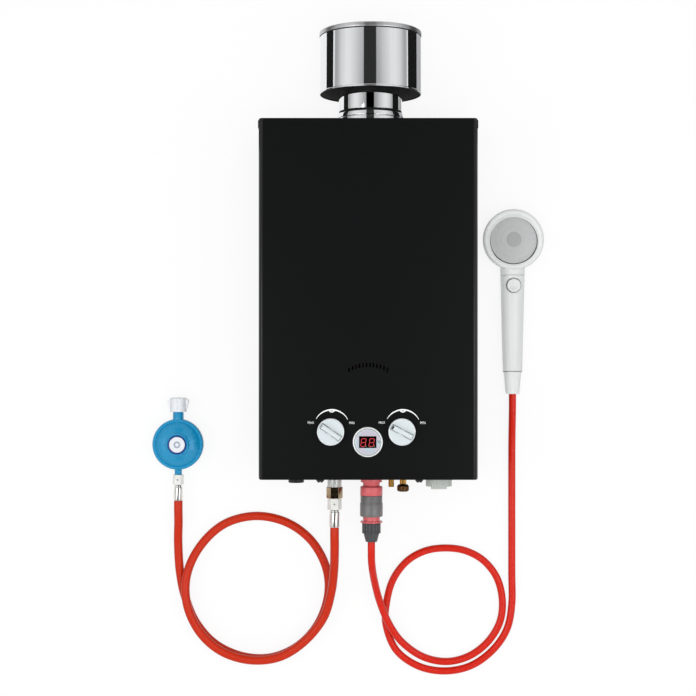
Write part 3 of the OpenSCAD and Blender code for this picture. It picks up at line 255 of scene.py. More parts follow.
@dataclass(frozen=True)
class MouldedPlastic(Finish):
    """Injection-moulded plastic: even colour, with a little depth when pale."""

    depth: float = 0.0
    sink_mm: float = 2.0
    sink_tint: tuple[float, float, float] = (1.0, 0.95, 0.9)

    def pattern(self, tree: bpy.types.NodeTree, shader: bpy.types.Node) -> None:
        """Adds the moulded grain, and light that sinks into pale plastic.

        Args:
            tree: The material's node tree.
            shader: Its main shader.
        """
        super().pattern(tree, shader)
        if self.depth:
            shader.inputs["Subsurface Weight"].default_value = self.depth
            shader.inputs["Subsurface Radius"].default_value = self.sink_tint
            shader.inputs["Subsurface Scale"].default_value = self.sink_mm * MM


@dataclass(frozen=True)
class ExtrudedHose(Finish):
    """Extruded hose: lengthwise die lines, and a braid that shows as fine dots."""

    braid: str = ""
    pitch_mm: float = 3.0
    drift_per_metre: float = 12.0
    # Heights of the crossed waves where a yarn crossing starts and is full, and the
    # share of the braid's colour that it shows
    crossing: tuple[float, float] = (0.45, 0.9)
    braid_share: float = 0.55

    def pattern(self, tree: bpy.types.NodeTree, shader: bpy.types.Node) -> None:
        """Adds the lengthwise die lines, and the braid that shows through.

        Args:
            tree: The material's node tree.
            shader: Its main shader.
        """
        along = add_node(tree, "ShaderNodeAttribute", attribute_name="along")
        around = add_node(tree, "ShaderNodeAttribute", attribute_name="around")
        place = add_node(
            tree,
            "ShaderNodeCombineXYZ",
            {"X": along.outputs["Fac"], "Y": around.outputs["Fac"]},
        )
        lines = add_node(
            tree,
            "ShaderNodeMapping",
            {
                "Vector": place.outputs[0],
                "Scale": (self.drift_per_metre, 1 / (self.grain_mm * MM), 1.0),
            },
        )
        grain = add_node(
            tree, "ShaderNodeTexNoise", {"Vector": lines.outputs[0], "Scale": 1.0, "Detail": 2.0}
        )
        self.wander_colour(tree, shader, grain)
        bump = add_node(
            tree,
            "ShaderNodeBump",
            {"Height": grain.outputs[0], "Distance": self.relief_mm * MM, "Strength": 0.6},
        )
        tree.links.new(bump.outputs[0], shader.inputs["Normal"])
        if self.braid:
            self.show_braid(tree, shader, along, around)

    def show_braid(
        self,
        tree: bpy.types.NodeTree,
        shader: bpy.types.Node,
        along: bpy.types.Node,
        around: bpy.types.Node,
    ) -> None:
        """Mixes in the darker yarn crossings that show through the skin.

        Args:
            tree: The material's node tree.
            shader: Its main shader.
            along: The node that gives the distance along the hose.
            around: The node that gives the distance round it.
        """
        waves = []
        for sign in (1.0, -1.0):
            slant = add_node(
                tree,
                "ShaderNodeMath",
                {0: around.outputs["Fac"], 1: sign, 2: along.outputs["Fac"]},
                operation="MULTIPLY_ADD",
            )
            turned = add_node(
                tree,
                "ShaderNodeMath",
                {0: slant.outputs[0], 1: 2 * math.pi / (self.pitch_mm * MM)},
                operation="MULTIPLY",
            )
            waves.append(
                add_node(tree, "ShaderNodeMath", {0: turned.outputs[0]}, operation="SINE")
            )
        cross = add_node(
            tree,
            "ShaderNodeMath",
            {0: waves[0].outputs[0], 1: waves[1].outputs[0]},
            operation="MULTIPLY",
        )
        low, high = self.crossing
        dots = add_node(
            tree,
            "ShaderNodeMapRange",
            {"Value": cross.outputs[0], "From Min": low, "From Max": high, "To Max": self.braid_share},
        )
        source = shader.inputs["Base Color"].links[0].from_socket
        mixed = add_node(
            tree,
            "ShaderNodeMix",
            {0: dots.outputs[0], 6: source, 7: linear(self.braid)},
            data_type="RGBA",
        )
        tree.links.new(mixed.outputs[2], shader.inputs["Base Color"])


@dataclass(frozen=True)
class Glow(Finish):
    """A lit surface, such as a display segment."""

    strength: float = 1.0

    def pattern(self, tree: bpy.types.NodeTree, shader: bpy.types.Node) -> None:
        """Makes the surface give its own light."""
        shader.inputs["Emission Color"].default_value = linear(self.colour)
        shader.inputs["Emission Strength"].default_value = self.strength


@dataclass(frozen=True)
class PearlFilm(Finish):
    """Printed metallic film: its pearl drifts between a pink and a cyan cast."""

    pink: str = "#BDB7C5"
    cyan: str = "#ABC6CD"
    # Heights of the noise where the film is fully pink and fully cyan
    casts: tuple[float, float] = (0.38, 0.62)

    def pattern(self, tree: bpy.types.NodeTree, shader: bpy.types.Node) -> None:
        """Lets the hue drift over the film in broad soft patches.

        Args:
            tree: The material's node tree.
            shader: Its main shader.
        """
        place = add_node(tree, "ShaderNodeTexCoord")
        drift = add_node(
            tree,
            "ShaderNodeTexNoise",
            {"Vector": place.outputs["Object"], "Scale": 1 / (self.grain_mm * MM), "Detail": 1.0},
        )
        hues = add_node(tree, "ShaderNodeValToRGB", {0: drift.outputs[0]})
        first, last = hues.color_ramp.elements
        first.position, first.color = self.casts[0], linear(self.pink)
        last.position, last.color = self.casts[1], linear(self.cyan)
        hues.color_ramp.elements.new(0.5).color = linear(self.colour)
        tree.links.new(hues.outputs[0], shader.inputs["Base Color"])


class Dress:
    """The finishes of this heater, each named for its material and making, or for the painted light that it
    stands for.
    """

    # Baked polyester powder on steel: satin black, its relief too fine for a clear mirror.
    CASE = PowderCoat(
        "satin_powder_coat", "#090A0B", 0.3, sheen_level=0.4, grain_mm=1.6, relief_mm=0.003, wander=0.06
    )
    # Pressed inner sheet of the same coat, less evenly covered.
    PLATE = PowderCoat("thin_powder_coat", "#1B1B1D", 0.5, grain_mm=2.5, relief_mm=0.01, wander=0.15)
    # Stainless sheet, buffed bright after rolling: a clear mirror with faint lines.
    STAINLESS = RolledSheet(
        "polished_stainless", "#EDEEF0", 0.05, 1.0, grain_mm=5.0, relief_mm=0.003, wander=0.06
    )
    # The lid's pressing, left as brushed: a soft grey sheen.
    SATIN_STAINLESS = RolledSheet(
        "brushed_stainless", "#CFCFD1", 0.34, 1.0, grain_mm=2.0, relief_mm=0.03, wander=0.2
    )
    # Flat black of the cap's hem, the lid's seam and the neck's groove: painted shadow in these gaps.
    SHADOW_BLACK = Finish("painted_shadow_black", "#050505", 0.85, grain_mm=0.8, relief_mm=0.1, wander=0.2)
    # Dull dark grey sheet, with no mirror, inside the cap and the neck and on the struts: painted shade of
    # the hollows.
    SHADED_INSIDE = RolledSheet("painted_shade_dark_sheet", "#4E4D4C", 0.6, 0.0, grain_mm=6.0, wander=0.25)
    # Plain steel sheet with a dull mill finish.
    MILD_STEEL = RolledSheet("mill_steel", "#8C8B88", 0.38, 1.0, grain_mm=4.0, relief_mm=0.01, wander=0.2)
    # Drawn copper, dulled by heat.
    COPPER = RolledSheet("drawn_copper", "#B4694A", 0.3, 1.0, grain_mm=8.0, relief_mm=0.01, wander=0.25)
    # Die-cast aluminium: grey, slightly pebbled.
    DIE_CAST = Finish("die_cast_aluminium", "#A2A3A5", 0.42, 1.0, grain_mm=0.9, relief_mm=0.03, wander=0.15)
    # Turned brass, left bare: warm yellow, with fine rings of light.
    BRASS = LatheTurned("turned_brass", "#C89A4B", 0.24, 1.0, grain_mm=0.8, relief_mm=0.01, wander=0.18)
    # Brass gone dark with handling: deep brown, still shiny.
    DARK_BRASS = LatheTurned(
        "darkened_brass", "#5A4128", 0.22, 1.0, grain_mm=0.8, relief_mm=0.012, wander=0.3
    )
    # Plain brass hexagon of the union, tarnished brown.
    TARNISHED_BRASS = LatheTurned(
        "tarnished_brass", "#A08A6C", 0.2, 1.0, grain_mm=1.4, relief_mm=0.006, wander=0.3
    )
    # Turned steel: pale grey, with soft turning lines.
    STEEL = LatheTurned("turned_steel", "#CDCECB", 0.34, 0.45, grain_mm=0.7, relief_mm=0.012, wander=0.1)
    # Nickel plate on turned brass: bright and slightly warm.
    NICKEL = LatheTurned("nickel_plate", "#E2E1DE", 0.2, 1.0, grain_mm=1.0, relief_mm=0.004, wander=0.06)
    # White-zinc plate on the swivel nuts: milky, nearly white.
    ZINC = LatheTurned("zinc_plate", "#EDEEE9", 0.3, 0.25, grain_mm=1.0, relief_mm=0.006, wander=0.05)
    # Anodised aluminium, dyed red: an even satin that hides the metal.
    RED_ANODISED = LatheTurned(
        "red_anodised", "#D25D62", 0.36, grain_mm=1.2, relief_mm=0.006, wander=0.06, coat=0.2
    )
    # Anodised aluminium, dyed charcoal: a satin with a little metal in it.
    CHARCOAL = LatheTurned(
        "charcoal_anodised", "#737272", 0.36, 0.2, grain_mm=1.2, relief_mm=0.006, wander=0.08
    )
    # Glass-filled nylon: dark grey, satin.
    DARK_NYLON = MouldedPlastic("dark_nylon", "#434547", 0.4, grain_mm=0.6, relief_mm=0.02, wander=0.06)
    # The same nylon in black, slightly grained.
    BLACK_NYLON = MouldedPlastic("black_nylon", "#0D0D0E", 0.42, grain_mm=0.8, relief_mm=0.02, wander=0.1)
    # Pale grey ABS of the battery cap: satin, as moulded.
    GREY_ABS = MouldedPlastic("grey_abs", "#B9BEB8", 0.4, grain_mm=0.8, relief_mm=0.015, wander=0.04)
    # ABS with a silver pearl in it: pale and slightly blue, glossy.
    SILVER_ABS = MouldedPlastic(
        "silver_abs", "#D2DADD", 0.3, 0.1, grain_mm=0.5, relief_mm=0.006, wander=0.03, coat=0.25
    )
    # Nearly white plastic on the raised rims: a bright edge, a painted highlight.
    RIM_HIGHLIGHT = MouldedPlastic(
        "rim_painted_highlight", "#F3F6F7", 0.2, 0.3, grain_mm=2.0, relief_mm=0.003, wander=0.02, coat=0.3
    )
    # Glossy white ABS, a little translucent.
    WHITE_ABS = MouldedPlastic(
        "white_abs", "#DADDDB", 0.3, grain_mm=0.5, relief_mm=0.006, wander=0.02, coat=0.2, depth=0.15
    )
    # The same plastic left unpolished, on the hose nut: matt.
    MATT_ABS = MouldedPlastic("matt_white_abs", "#DFE2E0", 0.4, grain_mm=1.0, relief_mm=0.01, wander=0.02)
    # White nylon of the wing nut and the regulator's cap: soft, a little translucent.
    WHITE_NYLON = MouldedPlastic("white_nylon", "#E3E6EA", 0.42, grain_mm=0.5, wander=0.03, depth=0.3)
    # Grey moulded plastic of the spray face: smooth, with a soft gloss.
    SPRAY_GREY = MouldedPlastic(
        "spray_face_grey", "#BABCBC", 0.3, grain_mm=6.0, relief_mm=0.01, wander=0.03, coat=0.3
    )
    # The middle of the spray face, where the jets' plate lies deeper.
    DEEP_GREY = MouldedPlastic("deep_spray_grey", "#A5A7A7", 0.35, grain_mm=3.0, wander=0.04, coat=0.2)
    # Grey-blue pad print on white plastic: flat.
    PALE_PRINT = Finish("pale_print", "#A3A9BC", 0.5, grain_mm=0.8, wander=0.12)
    # Painted shadow line in the gap of a joint between two mouldings.
    JOINT_SHADOW_LINE = Finish("joint_shadow", "#3A3C3C", 0.7, grain_mm=2.0, wander=0.1)
    # Baked enamel over the die-cast regulator: deep blue under a clear gloss.
    BLUE_ENAMEL = Finish(
        "blue_enamel", "#0C8DBD", 0.32, 0.1, grain_mm=3.0, relief_mm=0.02, wander=0.12, coat=0.25
    )
    # Navy enamel round the regulator's cap: glossy.
    NAVY_INK = Finish("navy_enamel", "#0C2B84", 0.3, grain_mm=1.0, wander=0.05, coat=0.3)
    # Rubber gas hose, extruded: even orange-red, satin.
    GAS_HOSE = ExtrudedHose(
        "orange_rubber_hose", "#C52C0C", 0.3, ior=1.42, sheen_level=0.3, grain_mm=1.1, relief_mm=0.03,
        wander=0.06,
    )
    # Clear-skinned vinyl hose over red braid: glossy.
    SHOWER_HOSE = ExtrudedHose(
        "red_vinyl_hose",
        "#D4210C",
        0.24,
        sheen_level=0.25,
        grain_mm=2.2,
        relief_mm=0.02,
        wander=0.1,
        coat=0.08,
        braid="#960B05",
    )
    # White screen print on the panel: flat and opaque.
    WHITE_INK = Finish("white_panel_ink", "#F4F6F6", 0.45, grain_mm=0.6, wander=0.02)
    # Black fill of a pointer's mark, and the painted shade of a small hole: satin.
    BLACK_INK_AND_SHADE = Finish("black_ink_and_painted_shade", "#0A0A0A", 0.35, grain_mm=0.6, wander=0.05)
    # Smoked acrylic over the digits: a nearly black mirror.
    SMOKED_WINDOW = Finish("smoked_acrylic", "#0B0405", 0.08, grain_mm=20.0, wander=0.05, coat=0.5)
    # Red light-emitting segment: it glows weakly by daylight.
    LIT_SEGMENT = Glow("lit_segment", "#C4323C", 0.4, strength=0.1)
    # The display's points, barely lit.
    DIM_POINT = Glow("dim_point", "#7C8B6E", 0.4, strength=0.05)
    # Grey print, a dark joint line, and painted shade in a shallow groove and round the foot of the grip
    # bars: flat.
    GREY_INK_AND_SHADE = Finish("grey_ink_and_painted_shade", "#5E6A69", 0.45, grain_mm=0.6, wander=0.03)
    # Printed metallic film of the display's plate: a pearl that drifts in hue.
    PEARL_FILM = PearlFilm("pearl_film", "#B4BCC5", 0.34, 0.1, grain_mm=14.0, coat=0.15)
    # Glazed alumina of the electrodes: ivory and glassy.
    CERAMIC = Finish("glazed_alumina", "#E9E4D6", 0.15, grain_mm=3.0, wander=0.04)
    # Moulded rubber of the diaphragm: matt black.
    RUBBER = Finish("moulded_rubber", "#1A1A1A", 0.7, grain_mm=0.7, relief_mm=0.03, wander=0.1)
    # Shrunk film round the battery cells: smooth and glossy.
    CELL_JACKET = Finish("cell_jacket", "#2F5E9E", 0.3, grain_mm=8.0, wander=0.05, coat=0.4)


# ------------------------------------------------------------------ shaping

# Points nearer than this are one, in metres.
TOUCHING = 1e-6
# A rounded corner: steps of its curve, the most of a side that it takes, and the
# angle between two sides past which they count as one straight line.
CORNER_STEPS = 4
CORNER_SHARE = 0.45
STRAIGHT_DEG = 165
# Soft edges of a carried-over node: points nearer than the first are one, faces
# that turn by less than the second join, and edges that turn by more than the
# third are rounded.
WELD_MM = 0.005
FLAT_DEG = 0.5
EDGE_DEG = 38


class Axis(Enum):
    """The direction that a turned piece's axis takes."""

    X = "x"
    Y = "y"
    Z = "z"

    def place(self, side: float, rise: float, height: float) -> Vector:
        """Puts a point of the turned form into the frame's axes.

        Args:
            side: The first distance across the axis.
            rise: The second, square to it.
            height: The distance along the axis.

        Returns:
            The point, from the form's foot.
        """
        if self is Axis.X:
            return Vector((height, side, rise))
        if self is Axis.Y:
            return Vector((side, height, rise))
        return Vector((side, rise, height))


@dataclass(frozen=True)
class NodeBox:
    """The corners of a CAD node at rest."""

    low: Vector
    high: Vector

    @classmethod
    def of(cls, node: str) -> "NodeBox":
        """Reads a node's box from the frame."""
        low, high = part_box(node)
        return cls(low, high)

    @property
    def centre(self) -> Vector:
        """The middle of the box."""
        return (self.low + self.high) / 2

    @property
    def size(self) -> Vector:
        """The box's width, length and height."""
        return self.high - self.low


def rounded(profile: Profile, radius: float, closed: bool) -> Profile:
    """Rounds a profile's corners with short curves.

    Args:
        profile: Points of (radius, height), each with its own rounding as an
            optional third value.
        radius: The usual rounding.
        closed: Whether the last point joins the first.

    Returns:
        The profile with each corner replaced by points of a curve.
    """
    count = len(profile)
    made: Profile = []
    for i, point in enumerate(profile):
        here = Vector(point[:2])
        if not closed and i in (0, count - 1):
            made.append(tuple(here))
            continue
        to_last = Vector(profile[i - 1][:2]) - here
        to_next = Vector(profile[(i + 1) % count][:2]) - here
        reach = point[2] if len(point) > 2 else radius
        reach = min(reach, CORNER_SHARE * to_last.length, CORNER_SHARE * to_next.length)
        apart = to_last.length and to_next.length
        straight = apart and to_last.angle(to_next) > math.radians(STRAIGHT_DEG)
        if reach < TOUCHING or straight:
            made.append(tuple(here))
            continue
        start = here + to_last.normalized() * reach
        end = here + to_next.normalized() * reach
        for k in range(CORNER_STEPS + 1):
            t = k / CORNER_STEPS
            made.append(tuple(start * (1 - t) ** 2 + here * 2 * t * (1 - t) + end * t * t))
    return made


def piece_of(
    name: str, points: list[Vector], faces: list[tuple[int, ...]], sharp_deg: float = 32.0
) -> bpy.types.Object:
    """Makes an object from points and faces, with its normals outward.

    Args:
        name: The piece's name.
        points: The mesh's points, in the frame's axes.
        faces: Corner numbers of each face.
        sharp_deg: Edges that turn by more than this stay sharp.

    Returns:
        The new object, in the scene.
    """
    mesh = bpy.data.meshes.new(name)
    mesh.from_pydata([tuple(p) for p in points], [], faces)
    form = bmesh.new()
    form.from_mesh(mesh)
    bmesh.ops.remove_doubles(form, verts=form.verts, dist=TOUCHING)
    bmesh.ops.recalc_face_normals(form, faces=form.faces)
    form.to_mesh(mesh)
    form.free()
    return object_of(name, mesh, sharp_deg)


def object_of(name: str, mesh: bpy.types.Mesh, sharp_deg: float = 32.0) -> bpy.types.Object:
    """Puts a mesh into the scene, smooth but for its sharp edges.

    Args:
        name: The piece's name.
        mesh: Its mesh.
        sharp_deg: Edges that turn by more than this stay sharp.

    Returns:
        The new object, in the scene.
    """
    mesh.polygons.foreach_set("use_smooth", [True] * len(mesh.polygons))
    mesh.set_sharp_from_angle(angle=math.radians(sharp_deg))
    made = bpy.data.objects.new(name, mesh)
    bpy.context.scene.collection.objects.link(made)
    return made


def turned(
    name: str,
    centre: Vector,
    axis: Axis,
    profile: Profile,
    corner: float = 0.3 * MM,
    segments: int = 96,
    ring: bool = False,
) -> bpy.types.Object:
    """Turns a profile about an axis, as on a lathe.

    Args:
        name: The piece's name.
        centre: The point on the axis where heights start.
        axis: The direction of the axis.
        profile: Points of (radius, height), from the axis to the axis again
            unless ring is set.
        corner: The usual rounding of the profile's corners.
        segments: Facets round the axis.
        ring: Whether the profile is a loop clear of the axis.

    Returns:
        The turned piece.
    """
    outline = rounded(profile, corner, ring)
    points = []
    for radius, height in outline:
        for k in range(segments):
            turn = 2 * math.pi * k / segments
            points.append(centre + axis.place(radius * math.cos(turn), radius * math.sin(turn), height))
    rows = len(outline) if ring else len(outline) - 1
    faces = []
    for i in range(rows):
        after = (i + 1) % len(outline)
        for k in range(segments):
            nxt = (k + 1) % segments
            corners = (i * segments + k, i * segments + nxt, after * segments + nxt, after * segments + k)
            faces.append(corners)
    return piece_of(name, points, faces)


def band(
    name: str,
    centre: Vector,
    axis: Axis,
    radii: tuple[float, float],
    span: tuple[float, float],
    corner: float,
    segments: int,
) -> bpy.types.Object:
    """Turns a plain band: a ring of rectangular section.

    Args:
        name: The piece's name.
        centre: The point on the axis where heights start.
        axis: The direction of the axis.
        radii: Its inner and its outer radius.
        span: Heights of its two ends, the lower first.
        corner: Rounding of its corners.
        segments: Facets round the axis.

    Returns:
        The band.
    """
    (inner, outer), (low, high) = radii, span
    section = [(inner, low), (outer, low), (outer, high), (inner, high)]
    return turned(name, centre, axis, section, corner, segments, ring=True)


def prism(
    name: str, outline: list[tuple[float, float]], low: float, high: float, edge: float
) -> bpy.types.Object:
    """Raises a flat outline along Z and rounds its edges.

    Args:
        name: The piece's name.
        outline: The outline's corners, in order, as X and Y.
        low: Height of its foot.
        high: Height of its top.
        edge: Rounding of its edges, or 0 for none.

    Returns:
        The raised piece.
    """
    form = bmesh.new()
    foot = [form.verts.new((x, y, low)) for x, y in outline]
    top = [form.verts.new((x, y, high)) for x, y in outline]
    form.faces.new(foot)
    form.faces.new(top)
    for i in range(len(outline)):
        after = (i + 1) % len(outline)
        form.faces.new((foot[i], foot[after], top[after], top[i]))
    bmesh.ops.recalc_face_normals(form, faces=form.faces)
    if edge > 0:
        bmesh.ops.bevel(
            form, geom=form.edges[:], offset=edge, segments=3, profile=0.5, affect="EDGES",
            clamp_overlap=True,
        )
    mesh = bpy.data.meshes.new(name)
    form.to_mesh(mesh)
    form.free()
    return object_of(name, mesh)


def joined(name: str, parts: list[bpy.types.Object]) -> bpy.types.Object:
    """Joins several objects into one piece.

    Args:
        name: The piece's name.
        parts: The objects, which are used up.

    Returns:
        One object with all their faces.
    """
    form = bmesh.new()
    for part in parts:
        part.data.transform(part.matrix_world)
        form.from_mesh(part.data)
        bpy.data.objects.remove(part)
    mesh = bpy.data.meshes.new(name)
    form.to_mesh(mesh)
    form.free()
    return object_of(name, mesh)


def arc(centre: Vector, radius: float, start_deg: float, end_deg: float, count: int) -> list[Vector]:
    """Gives points along an arc in a plane of constant height.

    Args:
        centre: The arc's middle.
        radius: Its radius.
        start_deg: Direction of its first point, from +X.
        end_deg: Direction of its last point.
        count: How many points it has.

    Returns:
        The points, in order.
    """
    turns = [math.radians(start_deg + (end_deg - start_deg) * k / (count - 1)) for k in range(count)]
    return [centre + radius * Vector((math.cos(t), math.sin(t), 0)) for t in turns]


def dress(piece: bpy.types.Object, finish: Finish, body: str, slot: str, *nodes: str) -> bpy.types.Object:
    """Gives a piece its material and its body, hides the nodes that it replaces, and logs where it rides.

    Args:
        piece: The piece.
        finish: Its finish.
        body: The CAD body that it rides on.
        slot: Not used.
        *nodes: CAD nodes that it replaces.

    Returns:
        The piece.
    """
    piece.data.materials.clear()
    piece.data.materials.append(finish.material())
    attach(piece, body)
    if nodes:
        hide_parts(*nodes)
    LOG.info("%s rides on %s, in %s", piece.name, body, finish.name)
    return piece


def finish_node(node: bpy.types.Object, finish: Finish, edge_mm: float = 0.0) -> None:
    """Gives a carried-over CAD node its material and soft edges.

    Args:
        node: The CAD node's object.
        finish: Its finish.
        edge_mm: Rounding of its sharp edges, or 0 for none.
    """
    node.data.materials.clear()
    node.data.materials.append(finish.material())
    if edge_mm:
        node.modifiers.new("weld", "WELD").merge_threshold = WELD_MM * MM
        flat = node.modifiers.new("flat", "DECIMATE")
        flat.decimate_type = "DISSOLVE"
        flat.angle_limit = math.radians(FLAT_DEG)
        edge = node.modifiers.new("edge", "BEVEL")
        edge.width = edge_mm * MM
        edge.segments = 2
        edge.limit_method = "ANGLE"
        edge.angle_limit = math.radians(EDGE_DEG)
        edge.harden_normals = True
    LOG.info("%s keeps its CAD shape, in %s", node.name, finish.name)


# ------------------------------------------------------------------ studio


@dataclass
class Studio:
    """The pale floor, the soft light and the camera straight above."""

    camera_place: Vector = field(default_factory=lambda: Vector((-26.1, -63.2, 1897.0)) * MM)
    lens_mm: float = 71.2
    floor_width: float = 30.0
    floor_drop: float = 0.2 * MM
    floor_glow: float = 0.86
    paper_shade: Colour = (0.9, 0.9, 0.9, 1.0)
    bounce_shade: Colour = (0.5, 0.5, 0.5, 1.0)
    sky_shade: float = 0.5
    sky_blue: float = 1.01
    bar_deg: tuple[float, float] = (-16.1, 12.3)
    # The bar's soft edge, as shares of its half width, and the least upward part of a
    # direction that meets it
    bar_edge: tuple[float, float] = (0.96, 1.04)
    bar_foot: float = 0.6
    # Where along the room the bar's shade turns, as Y over Z, and its shade on either side
    bar_turn: tuple[float, float] = (0.185, 0.235)
    bar_shades: tuple[float, float] = (0.0, 0.03)
    # Height of a direction, from straight down at 0 to straight up at 1, and its shade
    room_shades: tuple[tuple[float, float], ...] = (
        (0.0, 0.85), (0.47, 0.8), (0.5, 0.44), (0.56, 0.42), (0.66, 0.72), (0.75, 0.86), (0.83, 0.84),
        (0.92, 0.62), (0.965, 0.4), (1.0, 0.3),
    )
    # Each lamp's name, place, width, power in watts, and whether gloss sees it
    lamps: tuple[tuple[str, tuple[float, float, float], float, float, bool], ...] = (
        ("softbox_overhead", (0.1, -0.1, 2.3), 1.5, 23.0, False),
        ("softbox_left", (-1.3, -0.25, 1.9), 1.2, 8.0, True),
        ("softbox_right", (1.3, -0.4, 1.9), 1.2, 7.0, True),
        ("softbox_foot", (0.0, -1.5, 1.9), 1.2, 5.0, False),
    )
    # The handset's own lamp: its place from the handle's middle, its width and its power
    fill_offset: tuple[float, float, float] = (-1.1, 0.0, 0.4)
    fill_width: float = 0.5
    fill_power: float = 5.0
    # Each black flag's side, its distance from the exhaust's axis, and the heights of
    # its lower and upper edge
    flags: tuple[tuple[int, float, float, float], ...] = (
        (-1, 204 * MM, 17 * MM, 102 * MM), (1, 164 * MM, 12 * MM, 108 * MM),
    )
    # How far the flags and the grey card reach past the cap's foot and head
    flag_reach: tuple[float, float] = (60 * MM, 190 * MM)
    # The grey card's two edges, from the cap's right side, and its height
    card_edges: tuple[float, float] = (22 * MM, 110 * MM)
    card_lift: float = 1 * MM

    def build(self) -> None:
        """Makes the floor, the sky, the lamps, the flags and the camera."""
        self.make_camera()
        self.make_floor()
        self.make_sky()
        self.make_lamps()
        self.make_flags()
        bpy.context.scene.view_settings.view_transform = "Standard"

    def make_camera(self) -> None:
        """Hangs the camera over the layout, with its top towards the exhaust."""
        lens = bpy.data.cameras.new("camera")
        lens.lens = self.lens_mm
        lens.sensor_width = 36.0
        lens.clip_end = 100.0
        camera = bpy.data.objects.new("camera", lens)
        camera.location = self.camera_place
        bpy.context.scene.collection.objects.link(camera)
        bpy.context.scene.camera = camera

    def make_floor(self) -> None:
        """Lays a white floor that keeps a soft shadow."""
        half = self.floor_width / 2
        corners = [(-half, -half), (half, -half), (half, half), (-half, half)]
        mesh = bpy.data.meshes.new("floor")
        mesh.from_pydata([(x, y, -self.floor_drop) for x, y in corners], [], [(0, 1, 2, 3)])
        floor = object_of("floor", mesh)
        paper = bpy.data.materials.new("white_paper")
        paper.use_nodes = True
        tree = paper.node_tree
        tree.nodes.clear()
        path = add_node(tree, "ShaderNodeLightPath")
        shade = add_node(
            tree,
            "ShaderNodeMix",
            {0: path.outputs["Is Diffuse Ray"], 6: self.paper_shade, 7: self.bounce_shade},
            data_type="RGBA",
        )
        matt = add_node(tree, "ShaderNodeBsdfDiffuse", {"Color": shade.outputs[2]})
        glow = add_node(tree, "ShaderNodeEmission", {"Color": (1.0, 1.0, 1.0, 1.0), "Strength": 1.0})
        seen = self.seen_directly(tree)
        share = add_node(
            tree, "ShaderNodeMath", {0: seen, 1: self.floor_glow}, operation="MULTIPLY"
        )
        mixed = add_node(
            tree, "ShaderNodeMixShader", {0: share.outputs[0], 1: matt.outputs[0], 2: glow.outputs[0]}
        )
        add_node(tree, "ShaderNodeOutputMaterial", {"Surface": mixed.outputs[0]})
        mesh.materials.append(paper)

    def seen_directly(self, tree: bpy.types.NodeTree) -> bpy.types.NodeSocket:
        """Gives 1 for rays from the camera, from metal and through glass.

        Args:
            tree: The node tree that gets the test.

        Returns:
            The test's result.
        """
        path = add_node(tree, "ShaderNodeLightPath")
        gloss = add_node(
            tree,
            "ShaderNodeMath",
            {0: path.outputs["Is Camera Ray"], 1: path.outputs["Is Glossy Ray"]},
            operation="MAXIMUM",
        )
        return add_node(
            tree,
            "ShaderNodeMath",
            {0: gloss.outputs[0], 1: path.outputs["Is Transmission Ray"]},
            operation="MAXIMUM",
        ).outputs[0]

    def make_sky(self) -> None:
        """Makes a pale room with a dark bar of ceiling over the camera.

        Rays from the camera see plain white. Gloss sees the room: pale walls, a
        dimmer ceiling, and the dark bar, which runs along Y as the camera's rig does.
        """
        world = bpy.data.worlds.new("studio")
        world.use_nodes = True
        bpy.context.scene.world = world
        tree = world.node_tree
        tree.nodes.clear()
        place = add_node(tree, "ShaderNodeTexCoord")
        split = add_node(tree, "ShaderNodeSeparateXYZ", {0: place.outputs["Generated"]})
        height = add_node(
            tree, "ShaderNodeMapRange", {"Value": split.outputs["Z"], "From Min": -1.0, "From Max": 1.0}
        )
        room = add_node(tree, "ShaderNodeValToRGB", {0: height.outputs[0]})
        while len(room.color_ramp.elements) < len(self.room_shades):
            room.color_ramp.elements.new(0.5)
        for element, (position, shade) in zip(room.color_ramp.elements, self.room_shades):
            element.position = position
            element.color = (shade, shade, shade, 1.0)
        length = add_node(
            tree, "ShaderNodeMath", {0: split.outputs["Y"], 1: split.outputs["Z"]}, operation="DIVIDE"
        )
        (turn_start, turn_end), (first_shade, last_shade) = self.bar_turn, self.bar_shades
        bar = add_node(
            tree,
            "ShaderNodeMapRange",
            {
                "Value": length.outputs[0], "From Min": turn_start, "From Max": turn_end,
                "To Min": first_shade, "To Max": last_shade,
            },
        )
        barred = add_node(
            tree,
            "ShaderNodeMix",
            {0: self.ceiling_bar(tree, split), 6: room.outputs[0], 7: bar.outputs[0]},
            data_type="RGBA",
        )
        path = add_node(tree, "ShaderNodeLightPath")
        day = (self.sky_shade, self.sky_shade, self.sky_shade * self.sky_blue, 1.0)
        plain = add_node(
            tree,
            "ShaderNodeMix",
            {0: path.outputs["Is Glossy Ray"], 6: day, 7: barred.outputs[2]},
            data_type="RGBA",
        )
        shown = add_node(
            tree,
            "ShaderNodeMix",
            {0: path.outputs["Is Camera Ray"], 6: plain.outputs[2], 7: (1.0, 1.0, 1.0, 1.0)},
            data_type="RGBA",
        )
        light = add_node(tree, "ShaderNodeBackground", {"Color": shown.outputs[2], "Strength": 1.0})
        add_node(tree, "ShaderNodeOutputWorld", {"Surface": light.outputs[0]})

